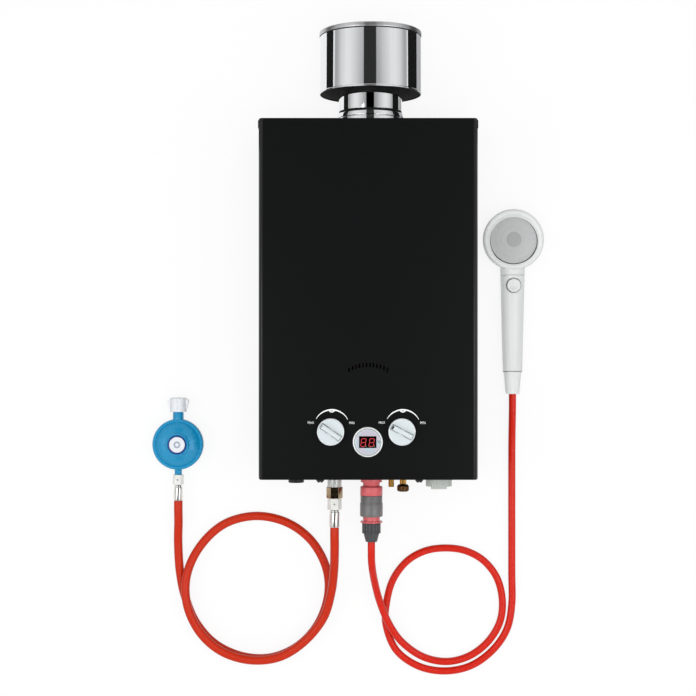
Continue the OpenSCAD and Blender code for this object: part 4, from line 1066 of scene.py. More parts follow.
    def ceiling_bar(self, tree: bpy.types.NodeTree, way: bpy.types.Node) -> bpy.types.NodeSocket:
        """Gives 1 where a direction meets the dark bar of the ceiling.

        Args:
            tree: The world's node tree.
            way: The node that holds the direction's X, Y and Z.

        Returns:
            The bar's mask.
        """
        lean = add_node(
            tree, "ShaderNodeMath", {0: way.outputs["X"], 1: way.outputs["Z"]}, operation="DIVIDE"
        )
        left, right = (math.tan(math.radians(edge)) for edge in self.bar_deg)
        middle, half = (left + right) / 2, (right - left) / 2
        full, faded = self.bar_edge
        off = add_node(tree, "ShaderNodeMath", {0: lean.outputs[0], 1: middle}, operation="SUBTRACT")
        side = add_node(tree, "ShaderNodeMath", {0: off.outputs[0]}, operation="ABSOLUTE")
        inside = add_node(
            tree,
            "ShaderNodeMapRange",
            {
                "Value": side.outputs[0], "From Min": half * full, "From Max": half * faded,
                "To Min": 1.0, "To Max": 0.0,
            },
        )
        above = add_node(
            tree, "ShaderNodeMath", {0: way.outputs["Z"], 1: self.bar_foot}, operation="GREATER_THAN"
        )
        return add_node(
            tree, "ShaderNodeMath", {0: inside.outputs[0], 1: above.outputs[0]}, operation="MULTIPLY"
        ).outputs[0]

    def make_lamps(self) -> None:
        """Hangs a wide softbox overhead and weaker ones at the sides and the foot."""
        for name, place, width, power, in_gloss in self.lamps:
            lamp = self.softbox(name, Vector(place), Vector((0.0, 0.0, 0.0)), width, power)
            lamp.visible_glossy = in_gloss

    def softbox(
        self, name: str, place: Vector, aim: Vector, width: float, power: float
    ) -> bpy.types.Object:
        """Hangs one square lamp and turns it towards a point.

        Args:
            name: The lamp's name.
            place: Where it hangs.
            aim: What it faces.
            width: Its side.
            power: Its power in watts.

        Returns:
            The lamp.
        """
        lamp = bpy.data.lights.new(name, "AREA")
        lamp.size = width
        lamp.energy = power
        lit = bpy.data.objects.new(name, lamp)
        lit.location = place
        lit.rotation_mode = "QUATERNION"
        lit.rotation_quaternion = (aim - place).to_track_quat("-Z", "Y")
        bpy.context.scene.collection.objects.link(lit)
        return lit

    def fill_handset(self, parts: list[bpy.types.Object]) -> None:
        """Lights the handset's left side, which the tall case would shade.

        Args:
            parts: The handset's pieces, which alone take and block this light.
        """
        box = NodeBox.of("handset_handle")
        place = box.centre + Vector(self.fill_offset)
        lit = self.softbox("softbox_handset", place, box.centre, self.fill_width, self.fill_power)
        lit.visible_glossy = False
        linked = bpy.data.collections.new("handset_light")
        for part in parts:
            linked.objects.link(part)
        lit.light_linking.receiver_collection = linked
        lit.light_linking.blocker_collection = linked

    def make_flags(self) -> None:
        """Stands dark flags beside the exhaust, seen only in its polish."""
        cap = NodeBox.of("cap_shell")
        black = Finish("flag_cloth", "#050505", 0.9, grain_mm=5.0, wander=0.1)
        foot_reach, head_reach = self.flag_reach
        y0, y1 = cap.low.y - foot_reach, cap.high.y + head_reach
        for side, away, low, high in self.flags:
            x = cap.centre.x + side * away
            corners = [Vector((x, y, z)) for y, z in ((y0, low), (y1, low), (y1, high), (y0, high))]
            self.flag(f"flag_{'left' if side < 0 else 'right'}", corners, black)
        grey = Finish("grey_card", "#B4B4B5", 0.9, grain_mm=5.0, wander=0.1)
        x0, x1 = (cap.high.x + edge for edge in self.card_edges)
        corners = [Vector((x, y, self.card_lift)) for x, y in ((x0, y0), (x1, y0), (x1, y1), (x0, y1))]
        self.flag("card_right", corners, grey)

    def flag(self, name: str, corners: list[Vector], finish: Finish) -> None:
        """Stands one flat card that only gloss can see.

        Args:
            name: The card's name.
            corners: Its four corners, in order.
            finish: Its finish.
        """
        card = piece_of(name, corners, [(0, 1, 2, 3)])
        card.data.materials.append(finish.material())
        card.visible_camera = False
        card.visible_diffuse = False
        card.visible_shadow = False


# ------------------------------------------------------------------ hoses


@dataclass
class Hose:
    """A hose that lies along a route, with its real length and diameter."""

    name: str
    node: str
    body: str
    slot: str
    finish: Finish
    diameter: float
    route: list[tuple[float, float, float]]
    far_end: str
    stiffness: str
    sides: int = 28
    step: float = 3.0 * MM
    least_steps: int = 4

    def centres(self) -> list[Vector]:
        """Follows the smooth curve through the route's points.

        Returns:
            Points along the hose's middle, in metres.
        """
        points = [Vector(p) * MM for p in self.route]
        last = len(points) - 1
        line = []
        for i in range(last):
            a, b, c, d = (points[max(i - 1, 0)], points[i], points[i + 1], points[min(i + 2, last)])
            count = max(self.least_steps, round((c - b).length / self.step))
            for k in range(count):
                t = k / count
                line.append(
                    0.5 * (2 * b + (c - a) * t + (2 * a - 5 * b + 4 * c - d) * t**2
                           + (3 * b - a - 3 * c + d) * t**3)
                )
        line.append(points[last])
        return line

    def length(self) -> float:
        """Measures the hose along its middle."""
        line = self.centres()
        return sum((b - a).length for a, b in zip(line, line[1:]))

    def build(self) -> bpy.types.Object:
        """Makes the tube and gives it its finish.

        Returns:
            The tube.
        """
        line = self.centres()
        points: list[Vector] = []
        along: list[float] = []
        around: list[float] = []
        gone = 0.0
        for i, centre in enumerate(line):
            if i:
                gone += (centre - line[i - 1]).length
            ahead = line[min(i + 1, len(line) - 1)] - line[max(i - 1, 0)]
            if i in (0, len(line) - 1):
                ahead = Vector((0.0, ahead.y, 0.0))
            ahead.normalize()
            across = ahead.cross(Vector((0.0, 0.0, 1.0))).normalized()
            rise = across.cross(ahead)
            for k in range(self.sides):
                turn = 2 * math.pi * k / self.sides
                points.append(centre + self.diameter / 2 * (across * math.cos(turn) + rise * math.sin(turn)))
                along.append(gone)
                around.append(self.diameter / 2 * abs(math.pi - turn))
        faces = []
        for i in range(len(line) - 1):
            for k in range(self.sides):
                nxt = (k + 1) % self.sides
                foot, top = i * self.sides, (i + 1) * self.sides
                faces.append((foot + k, foot + nxt, top + nxt, top + k))
        faces.append(tuple(range(self.sides)))
        faces.append(tuple(range(len(points) - self.sides, len(points))))
        made = piece_of(self.name, points, faces)
        for word, values in (("along", along), ("around", around)):
            made.data.attributes.new(word, "FLOAT", "POINT").data.foreach_set("value", values)
        return dress(made, self.finish, self.body, self.slot, self.node)

    def declare(self, piece: bpy.types.Object) -> None:
        """Logs the hose's name and length.

        Args:
            piece: The hose's tube.
        """
        LOG.info("%s is %.3f m long", piece.name, self.length())


# The routes repeat the CAD model's, in millimetres.
GAS_ROUTE = [
    (-44, -302, 65), (-44, -315, 65), (-44, -334, 60), (-45, -362, 43), (-49, -396, 26),
    (-60, -432, 19), (-86, -464, 18.4), (-120, -485, 18.4), (-160, -489, 18.4), (-199, -477, 18.4),
    (-229, -450, 18.4), (-246, -412, 18.4), (-246, -372, 16), (-228, -334, 10), (-196, -305, 6),
    (-154, -294, 6), (-112, -302, 6), (-78, -326, 6), (-57, -362, 6), (-53, -400, 6),
    (-66, -440, 6), (-93, -471, 6), (-130, -488, 6), (-170, -487, 6), (-208, -470, 6),
    (-235, -440, 6), (-250, -404, 6), (-257, -369, 6), (-259, -331, 9), (-258, -302, 14),
    (-258, -285, 16), (-258, -272, 16),
]
SHOWER_ROUTE = [
    (5, -321, 65), (5, -332, 65), (5.5, -350, 60), (9, -375, 42), (17, -408, 23), (30, -440, 17),
    (48, -466, 12), (76, -487, 5.2), (108, -494, 5.2), (139, -487, 5.2), (165, -468, 5.2),
    (182, -441, 5.2), (186, -411, 5.2), (179, -380, 5.2), (161, -356, 5.2), (136, -342, 5.2),
    (108, -338, 5.2), (80, -342, 5.2), (55, -356, 5.2), (36, -381, 5.2), (27, -412, 5.2),
    (26, -443, 5.2), (40, -478, 5.2), (70, -500, 5.2), (106, -507, 5.2), (142, -500, 5.2),
    (172, -479, 5.2), (192, -450, 5.2), (199, -415, 5.2), (199, -370, 5.2), (199, -310, 5.2),
    (199, -250, 5.2), (198.8, -195, 8), (198.5, -155, 15.5), (198.5, -138, 17), (198.5, -126, 17),
]


# ------------------------------------------------------------------ exhaust


@dataclass
class Exhaust:
    """The flared collar, the neck, the open cap and its lid."""

    sheet: float = 0.8 * MM
    bead: float = 0.5 * MM
    neck_radius: float = 42 * MM
    collar_bore: float = 42.2 * MM
    strut_count: int = 3
    strut_half: float = 6 * MM
    segments: int = 192

    def build(self) -> None:
        """Makes the four pieces of polished sheet, and the painted shade inside them and in their gaps."""
        cap = NodeBox.of("cap_shell")
        lid = NodeBox.of("cap_lid")
        neck = NodeBox.of("exhaust_neck")
        collar = NodeBox.of("flue_collar")
        axis = Vector((cap.centre.x, 0.0, cap.centre.z))
        self.cap(axis, cap)
        self.lid(axis, cap, lid)
        self.neck(axis, neck, collar)
        self.collar(axis, collar)

    def cap(self, axis: Vector, box: NodeBox) -> None:
        """Rolls the cap's shell, with a beaded rim, a black hem of painted shadow and a dark lining of
        painted shade.

        Args:
            axis: A point on the exhaust's axis, at Y = 0.
            box: The CAD shell's box.
        """
        out = box.size.x / 2
        wall = out - self.bead
        low, high = box.low.y, box.high.y
        shell = turned(
            "cap_shell_sheet", axis, Axis.Y,
            [(wall - self.sheet, low + 1.6 * MM), (wall - 0.4 * MM, low), (out, low + 0.4 * MM),
             (out, low + 1.6 * MM), (wall, low + 2.4 * MM), (wall, high), (wall - self.sheet, high)],
            segments=self.segments, ring=True,
        )
        dress(shell, Dress.STAINLESS, "case", "polished_flue", "cap_shell")
        # A dark sheet just inside the wall: painted shade of the cap's hollow inside.
        inside = band(
            "cap_painted_shade_lining", axis, Axis.Y,
            (wall - self.sheet - 0.35 * MM, wall - self.sheet - 0.05 * MM),
            (low + 1.2 * MM, high - 4 * MM), 0.0, self.segments,
        )
        dress(inside, Dress.SHADED_INSIDE, "case", "polished_flue")
        # A black ring at the rim's inner edge: painted shadow under the beaded rim.
        hem = turned(
            "cap_hem_painted_shadow", axis, Axis.Y,
            [(wall - self.sheet - 1.1 * MM, low + 0.4 * MM), (wall - 0.45 * MM, low + 0.1 * MM),
             (wall - 0.45 * MM, low + 0.7 * MM), (wall - self.sheet - 1.1 * MM, low + 1.4 * MM)],
            corner=0.1 * MM, segments=self.segments, ring=True,
        )
        dress(hem, Dress.SHADOW_BLACK, "case", "polished_flue")

    def lid(self, axis: Vector, cap: NodeBox, box: NodeBox) -> None:
        """Presses the lid, with its rolled edge and shallow step.

        Args:
            axis: A point on the exhaust's axis, at Y = 0.
            cap: The shell's box.
            box: The lid's box.
        """
        out = box.size.x / 2
        top, low = box.high.y, cap.high.y
        lid = turned(
            "cap_lid_pressing", axis, Axis.Y,
            [(0, top - 2 * MM), (out - 24 * MM, top - 2 * MM, 2 * MM),
             (out - 20 * MM, top - 0.6 * MM, 2 * MM), (out - 7 * MM, top - 0.4 * MM, 1 * MM),
             (out - 4 * MM, top, 1.2 * MM), (out, top - 0.6 * MM, 1.6 * MM),
             (out, low + 1.4 * MM, 0.6 * MM), (out - 0.5 * MM, low + 0.35 * MM),
             (out - 1.5 * MM, low + 0.35 * MM), (out - 1.5 * MM, top - 3 * MM), (0, top - 4 * MM)],
            segments=self.segments,
        )
        dress(lid, Dress.SATIN_STAINLESS, "case", "polished_flue", "cap_lid")
        # A black ring under the lid's edge: painted shadow of the seam.
        seam = band(
            "lid_seam_shadow", axis, Axis.Y,
            (out - 1.3 * MM, out - 0.35 * MM), (low - 0.9 * MM, low + 0.4 * MM), 0.1 * MM, self.segments,
        )
        dress(seam, Dress.SHADOW_BLACK, "case", "polished_flue")

    def neck(self, axis: Vector, box: NodeBox, collar: NodeBox) -> None:
        """Rolls the neck, its groove with a black ring of painted shadow in it, and its struts.

        Args:
            axis: A point on the exhaust's axis, at Y = 0.
            box: The neck's box.
            collar: The collar's box.
        """
        wall = self.neck_radius
        low, high = box.low.y, box.high.y
        groove = collar.high.y
        outer = turned(
            "exhaust_neck_sheet", axis, Axis.Y,
            [(wall - self.sheet, low), (wall, low), (wall, groove, 0.2 * MM),
             (wall - 1.6 * MM, groove + 0.5 * MM), (wall - 1.6 * MM, groove + 2.3 * MM),
             (wall, groove + 2.8 * MM, 0.2 * MM), (wall, high), (wall - self.sheet, high)],
            segments=self.segments, ring=True,
        )
        dress(outer, Dress.STAINLESS, "case", "polished_flue", "exhaust_neck")
        # A black ring in the groove: painted shadow where the neck meets the collar.
        seal = band(
            "neck_groove_painted_shadow", axis, Axis.Y, (wall - 1.5 * MM, wall - 0.25 * MM),
            (groove + 0.35 * MM, groove + 2.45 * MM), 0.3 * MM, self.segments,
        )
        dress(seal, Dress.SHADOW_BLACK, "case", "polished_flue")
        # A dark sheet just inside the wall: painted shade of the neck's hollow inside.
        lining = band(
            "neck_painted_shade_lining", axis, Axis.Y,
            (wall - self.sheet - 0.4 * MM, wall - self.sheet - 0.05 * MM), (low, high), 0.0, self.segments,
        )
        dress(lining, Dress.SHADED_INSIDE, "case", "polished_flue")
        self.struts(axis, wall, high)

    def struts(self, axis: Vector, wall: float, neck_top: float) -> None:
        """Bends the three straps that hold the cap on the neck.

        Args:
            axis: A point on the exhaust's axis, at Y = 0.
            wall: The neck's radius.
            neck_top: Y of the neck's upper end.
        """
        cap = NodeBox.of("cap_shell").size.x / 2 - self.bead - self.sheet
        parts = []
        for i in range(self.strut_count):
            turn = math.radians(-90 + i * 360 / self.strut_count)
            along = Vector((math.cos(turn), 0.0, math.sin(turn)))
            side = Vector((-math.sin(turn), 0.0, math.cos(turn)))
            section = [
                (wall, neck_top - 4 * MM), (wall + 1 * MM, neck_top - 4 * MM),
                (wall + 1.4 * MM, neck_top - 13 * MM), (cap - 5 * MM, neck_top - 13 * MM),
                (cap - 4.4 * MM, neck_top - 4 * MM),
                (cap - 0.4 * MM, neck_top - 4 * MM), (cap - 0.4 * MM, neck_top - 14 * MM),
                (wall, neck_top - 14 * MM),
            ]
            points = [
                axis + along * radius + side * (half * self.strut_half) + Vector((0.0, height, 0.0))
                for half in (-1, 1) for radius, height in section
            ]
            count = len(section)
            faces = [tuple(range(count)), tuple(range(count, 2 * count))]
            faces += [(k, (k + 1) % count, count + (k + 1) % count, count + k) for k in range(count)]
            parts.append(piece_of("strut", points, faces))
        # The struts take the same dark sheet: painted shade inside the cap.
        dress(joined("cap_struts", parts), Dress.SHADED_INSIDE, "case", "polished_flue")

    def collar(self, axis: Vector, box: NodeBox) -> None:
        """Spins the flared collar that covers the hole in the top.

        Args:
            axis: A point on the exhaust's axis, at Y = 0.
            box: The collar's box.
        """
        low, high = box.low.y, box.high.y
        wall = self.collar_bore
        out = box.size.x / 2
        collar = turned(
            "flue_collar_spinning", axis, Axis.Y,
            [(wall, low), (out, low), (out, low + 1.2 * MM), (out - 1.5 * MM, low + 2.6 * MM, 1.2 * MM),
             (wall + 3.0 * MM, high - 7.6 * MM, 0.4 * MM), (wall + 2.2 * MM, high - 7 * MM, 0.2 * MM),
             (wall + 2.6 * MM, high - 6 * MM, 0.4 * MM), (wall + 1.6 * MM, high - 1 * MM, 0.5 * MM),
             (wall + 1.0 * MM, high, 0.3 * MM), (wall, high)],
            segments=self.segments, ring=True,
        )
        dress(collar, Dress.STAINLESS, "case", "polished_flue", "flue_collar")


# ------------------------------------------------------------------ controls


@dataclass
class ControlPanel:
    """Two knobs with their printed scales, and the lit temperature display."""

    # Each knob's body, its pointer's direction from +X, and whether its mark is filled black
    knobs: tuple[tuple[str, float, bool], ...] = (("gas_knob", 145.0, False), ("water_knob", 152.0, True))
    knob_bore: float = 3.2 * MM
    disc_height: float = 9 * MM
    ink: float = 0.06 * MM
    # The scale's middle from the knob's, its radius, and the arc's start and sweep
    scale_shift: tuple[float, float] = (1.4 * MM, 5.1 * MM)
    scale_radius: float = 23.1 * MM
    scale_start_deg: float = 151
    scale_sweep_deg: float = 124
    word_height: float = 3.2 * MM
    word_narrowing: float = 0.8
    # The display's digits: size, spacing and lean, and a segment's width and end gap
    digit_size: tuple[float, float] = (6.7 * MM, 10.8 * MM)
    digit_pitch_mm: float = 10.6
    digit_lean_deg: float = 8
    segment_width: float = 0.85 * MM
    segment_gap: float = 0.25 * MM
    segments: int = 144

    def build(self, joints: dict[str, dict]) -> None:
        """Makes the knobs, the print and the display.

        Args:
            joints: The frame's joints, by name.
        """
        top = NodeBox.of("front_cover").high.z
        right, up = self.scale_shift
        for body, pointer_deg, mark in self.knobs:
            place = Vector([float(v) for v in joints[f"{body}_turn"]["pos_m"]])
            self.knob(body, place, pointer_deg, mark)
            self.scale(body, Vector((place.x + right, place.y + up, top)))
        self.display(top)

    def knob(self, body: str, place: Vector, pointer_deg: float, mark: bool) -> None:
        """Moulds a knob: a disc with a thin raised rim and a grip bar.

        Args:
            body: The knob's body and CAD node.
            place: The middle of its foot.
            pointer_deg: Direction of its pointer, from +X.
            mark: Whether the pointer's mark is filled black.
        """
        box = NodeBox.of(body)
        out = box.size.x / 2
        foot, top = place.z, box.high.z
        disc = foot + self.disc_height
        cap = turned(
            f"{body}_disc", Vector((place.x, place.y, 0.0)), Axis.Z,
            [(self.knob_bore, foot), (out - 0.6 * MM, foot), (out, foot + 1 * MM, 0.4 * MM),
             (out, disc - 2.2 * MM, 0.2 * MM), (out - 1.6 * MM, disc - 2.2 * MM, 0.2 * MM),
             (out - 1.6 * MM, disc - 0.5 * MM, 0.2 * MM), (out - 5 * MM, disc - 0.7 * MM, 1 * MM),
             (self.knob_bore, disc - 0.2 * MM)],
            ring=True, segments=self.segments,
        )
        rim = turned(
            f"{body}_rim", Vector((place.x, place.y, 0.0)), Axis.Z,
            [(out - 1.65 * MM, disc - 2.2 * MM), (out, disc - 2.2 * MM), (out, disc - 0.6 * MM, 0.8 * MM),
             (out - 0.8 * MM, disc + 0.4 * MM, 0.7 * MM), (out - 1.65 * MM, disc - 0.3 * MM, 0.5 * MM)],
            ring=True, segments=self.segments,
        )
        # The rim is nearly white: a painted highlight along it.
        dress(rim, Dress.RIM_HIGHLIGHT, body, "silver_plastic")
        turn = math.radians(pointer_deg)
        ahead = Vector((math.cos(turn), math.sin(turn), 0.0))
        side = Vector((-math.sin(turn), math.cos(turn), 0.0))
        grip = self.grip(f"{body}_grip", place, ahead, side, out, disc, top)
        knob = joined(f"{body}_moulding", [cap, grip])
        dress(knob, Dress.SILVER_ABS, body, "silver_plastic", body)
        self.grip_line(body, place, ahead, side, out, disc)
        inset = 0.55 * MM
        front = place + ahead * (out - 4.0 * MM)
        width, deep = (2.3 * MM, 1.1 * MM) if mark else (2.0 * MM, 0.35 * MM)
        corners = [
            front + side * (width * a) + ahead * (deep * b)
            for a, b in ((-1, -1), (1, -1), (1, 1), (-1, 1))
        ]
        pointer = prism(
            f"{body}_pointer", [(c.x, c.y) for c in corners], top - inset, top + 0.05 * MM, 0.1 * MM
        )
        dress(pointer, Dress.BLACK_INK_AND_SHADE if mark else Dress.GREY_INK_AND_SHADE, body, "silver_plastic")

    def grip_line(
        self, body: str, place: Vector, ahead: Vector, side: Vector, out: float, disc: float
    ) -> None:
        """Draws the shadow line where the grip bar leaves the disc.

        Args:
            body: The knob's body.
            place: The middle of its foot.
            ahead: The direction of its pointer.
            side: The direction square to that.
            out: The knob's radius.
            disc: Height of the disc's face.
        """
        reach, half = out - 1.9 * MM, 3.9 * MM
        corners = [place + ahead * a + side * b for a, b in
                   ((reach, half), (-reach, half), (-reach, -half), (reach, -half))]
        line = prism(
            f"{body}_grip_line", [(c.x, c.y) for c in corners], disc - 1 * MM, disc - 0.28 * MM, 0.0
        )
        dress(line, Dress.GREY_INK_AND_SHADE, body, "silver_plastic")

    def grip(
        self, name: str, place: Vector, ahead: Vector, side: Vector, out: float, disc: float, top: float
    ) -> bpy.types.Object:
        """Moulds the grip bar: drafted sides, sloping ends and soft edges.

        Args:
            name: The bar's name.
            place: The middle of the knob's foot.
            ahead: The direction of its pointer.
            side: The direction square to that.
            out: The knob's radius.
            disc: Height of the disc's face.
            top: Height of the bar's top.

        Returns:
            The bar, still without a finish.
        """
        rows = [  # height, half length and half width, at the foot and at the top
            (disc - 1 * MM, out - 1.5 * MM, 3.5 * MM),
            (top, out - 3.2 * MM, 2.7 * MM),
        ]
        form = bmesh.new()
        rings = []
        for height, reach, half in rows:
            corners = [(reach, half), (-reach, half), (-reach, -half), (reach, -half)]
            rings.append([
                form.verts.new(tuple(Vector((place.x, place.y, height)) + ahead * a + side * b))
                for a, b in corners
            ])
        form.faces.new(rings[0])
        form.faces.new(rings[1])
        for k in range(4):
            form.faces.new((rings[0][k], rings[0][(k + 1) % 4], rings[1][(k + 1) % 4], rings[1][k]))
        bmesh.ops.recalc_face_normals(form, faces=form.faces)
        bmesh.ops.bevel(
            form, geom=form.edges[:], offset=0.7 * MM, segments=4, profile=0.5, affect="EDGES",
            clamp_overlap=True,
        )
        mesh = bpy.data.meshes.new(name)
        form.to_mesh(mesh)
        form.free()
        return object_of(name, mesh)

    def scale(self, body: str, centre: Vector) -> None:
        """Prints the tapering arc, its half disc and the two words.

        Args:
            body: The knob that the scale belongs to.
            centre: The middle of the arc, on the panel.
        """
        count = 49
        inner, outer = [], []
        for k in range(count):
            share = k / (count - 1)
            half = (0.28 + 0.62 * math.sin(math.pi * share)) * MM
            turn = math.radians(self.scale_start_deg - self.scale_sweep_deg * share)
            way = Vector((math.cos(turn), math.sin(turn)))
            inner.append(tuple(centre.xy + way * (self.scale_radius - half)))
            outer.append(tuple(centre.xy + way * (self.scale_radius + half)))
        sweep = prism(f"{body}_scale", outer + inner[::-1], centre.z, centre.z + self.ink, 0.0)
        middle = centre + Vector((0.0, self.scale_radius - 0.5 * MM, 0.0))
        bulge = [(p.x, p.y * 0.8 + middle.y * 0.2) for p in arc(middle, 3.8 * MM, 180, 360, 25)]
        drop = prism(f"{body}_middle", bulge, centre.z, centre.z + 1.5 * self.ink, 0.0)
        words = [
            self.word("MAX", centre + Vector((-27.0 * MM, 6.4 * MM, 0.0))),
            self.word("MIN", centre + Vector((25.8 * MM, 6.1 * MM, 0.0))),
        ]
        dress(joined(f"{body}_print", [sweep, drop, *words]), Dress.WHITE_INK, "case", "black_sheet")
        half, deep = Vector((1.9 * MM, 0.0, 0.0)), Vector((0.0, -1.0 * MM, 0.0))
        start = middle + Vector((0.0, -0.5 * MM, 0.0))
        dash = [(p.x, p.y) for p in (start - half, start + half, start + half + deep, start - half + deep)]
        bare = prism(f"{body}_bare_spot", dash, centre.z, centre.z + 2.2 * self.ink, 0.0)
        dress(bare, Dress.GREY_INK_AND_SHADE, "case", "black_sheet")

    def word(
        self, text: str, middle: Vector, height: float | None = None, bold: float = 0.0
    ) -> bpy.types.Object:
        """Sets a short word in plain capitals, centred on a point.

        Args:
            text: The word.
            middle: The point.
            height: Height of its capitals, or None for the scale's.
            bold: How much its strokes are thickened.

        Returns:
            The word as a mesh, still without a finish.
        """
        letters = bpy.data.curves.new(text, "FONT")
        letters.body = text
        letters.size = (height or self.word_height) / 0.7
        letters.align_x = "CENTER"
        letters.align_y = "CENTER"
        letters.offset = bold
        letters.space_character = 1.1
        letters.extrude = self.ink / 2
        holder = bpy.data.objects.new(text, letters)
        holder.location = middle + Vector((0.0, 0.0, self.ink / 2))
        holder.scale = (self.word_narrowing, 1.0, 1.0)
        bpy.context.scene.collection.objects.link(holder)
        bpy.context.view_layer.update()
        mesh = bpy.data.meshes.new_from_object(holder.evaluated_get(bpy.context.evaluated_depsgraph_get()))
        mesh.transform(holder.matrix_world)
        bpy.data.objects.remove(holder)
        return object_of("word_" + "".join(c for c in text if c.isascii() and c.isalpha()), mesh)

    def display(self, top: float) -> None:
        """Makes the double-ringed bezel, the dark window and its lit digits.

        Args:
            top: Height of the front panel.
        """
        box = NodeBox.of("display_bezel")
        window = NodeBox.of("display_window")
        out = box.size.x / 2
        centre = Vector((box.centre.x, box.centre.y, top))
        rise = box.size.z
        plate_out = out - 3.4 * MM
        rim = turned(
            "display_rim", centre, Axis.Z,
            [(out - 2.2 * MM, 0.02 * MM), (out, 0.02 * MM), (out, rise * 0.7, 0.5 * MM),
             (out - 0.7 * MM, rise, 0.5 * MM), (out - 1.5 * MM, rise, 0.4 * MM),
             (out - 2.2 * MM, rise - 0.9 * MM, 0.3 * MM)],
            ring=True, segments=self.segments,
        )
        # The bezel's rings are nearly white: a painted highlight along them.
        dress(rim, Dress.RIM_HIGHLIGHT, "case", "silver_plastic", "display_bezel")
        bezel = turned(
            "display_bezel_ring", centre, Axis.Z,
            [(plate_out - 0.3 * MM, 0.2 * MM), (plate_out + 0.45 * MM, 0.2 * MM),
             (plate_out + 0.45 * MM, rise - 0.6 * MM, 0.2 * MM), (plate_out, rise - 0.6 * MM, 0.2 * MM),
             (plate_out - 0.3 * MM, rise - 1.1 * MM)],
            ring=True, segments=self.segments,
        )
        dress(bezel, Dress.RIM_HIGHLIGHT, "case", "silver_plastic")
        # A grey band in the groove between the rings: painted shade.
        groove = band(
            "display_groove_painted_shade", centre, Axis.Z, (plate_out + 0.4 * MM, out - 2.15 * MM),
            (0.2 * MM, rise - 1.2 * MM), 0.0, self.segments,
        )
        dress(groove, Dress.GREY_INK_AND_SHADE, "case", "silver_plastic")
        plate = self.framed_plate(centre, plate_out, window, rise - 1.1 * MM)
        dress(plate, Dress.PEARL_FILM, "case", "silver_plastic")
        digits, points = [], []
        for k in range(2):
            left = window.low.x + (1.5 + self.digit_pitch_mm * k) * MM
            low = Vector((left, window.low.y + 1.6 * MM, window.high.z))
            digits += self.digit(low, *self.digit_size)
            point = low + Vector((7.7 * MM, 0.7 * MM, 0.0))
            dot = [(p.x, p.y) for p in arc(point, 0.6 * MM, 0, 345, 24)]
            points.append(prism("segment_point", dot, low.z, low.z + 0.05 * MM, 0.0))
        dress(joined("lit_digits", digits), Dress.LIT_SEGMENT, "case", "red_window")
        dress(joined("dim_points", points), Dress.DIM_POINT, "case", "red_window")
        beside = Vector((window.high.x + 3.0 * MM, centre.y - 0.2 * MM, centre.z + rise - 0.7 * MM))
        mark = self.word("°C", beside, 3.0 * MM, 0.2 * MM)
        dress(mark, Dress.GREY_INK_AND_SHADE, "case", "silver_plastic")

    def framed_plate(self, centre: Vector, out: float, window: NodeBox, height: float) -> bpy.types.Object:
        """Makes the round plate with the window's opening cut in it.

        Args:
            centre: The middle of the bezel, on the panel.
            out: The plate's radius.
            window: The window's box.
            height: Height of the plate over the panel.

        Returns:
            The plate, still without a finish.
        """
        count = 96
        half = window.size.xy / 2
        rim, hole = [], []
        for k in range(count):
            turn = 2 * math.pi * k / count
            way = Vector((math.cos(turn), math.sin(turn)))
            reach = min(half.x / max(abs(way.x), 1e-9), half.y / max(abs(way.y), 1e-9))
            rim.append(centre.xy + way * out)
            hole.append(window.centre.xy + way * reach)
        points = [Vector((p.x, p.y, centre.z + height)) for p in rim + hole]
        points += [Vector((p.x, p.y, centre.z + height - 1.6 * MM)) for p in hole]
        faces = []
        for k in range(count):
            nxt = (k + 1) % count
            faces.append((k, nxt, count + nxt, count + k))
            faces.append((count + k, count + nxt, 2 * count + nxt, 2 * count + k))
        return piece_of("display_plate", points, faces)

    def digit(self, low: Vector, width: float, height: float) -> list[bpy.types.Object]:
        """Lights all seven segments of one digit.

        Args:
            low: The digit's lower left corner.
            width: Its width.
            height: Its height.

        Returns:
            One thin solid for each segment.
        """
        thick = self.segment_width
        lean = math.tan(math.radians(self.digit_lean_deg))
        gap = self.segment_gap
        middle = height / 2
        runs = [
            ((thick / 2, height - thick / 2), (width - thick / 2, height - thick / 2)),
            ((thick / 2, middle), (width - thick / 2, middle)),
            ((thick / 2, thick / 2), (width - thick / 2, thick / 2)),
            ((thick / 2, middle), (thick / 2, height - thick / 2)),
            ((thick / 2, thick / 2), (thick / 2, middle)),
            ((width - thick / 2, middle), (width - thick / 2, height - thick / 2)),
            ((width - thick / 2, thick / 2), (width - thick / 2, middle)),
        ]
        made = []
        for n, (start, end) in enumerate(runs):
            a, b = Vector(start), Vector(end)
            way = (b - a).normalized()
            side = Vector((-way.y, way.x)) * thick / 2
            a, b = a + way * gap, b - way * gap
            tip = way * thick / 2
            shape = [a, a + tip + side, b - tip + side, b, b - tip - side, a + tip - side]
            outline = [(low.x + p.x + p.y * lean, low.y + p.y) for p in shape]
            made.append(prism(f"segment_{n}", outline, low.z, low.z + 0.05 * MM, 0.0))
        return made


# ------------------------------------------------------------------ handset


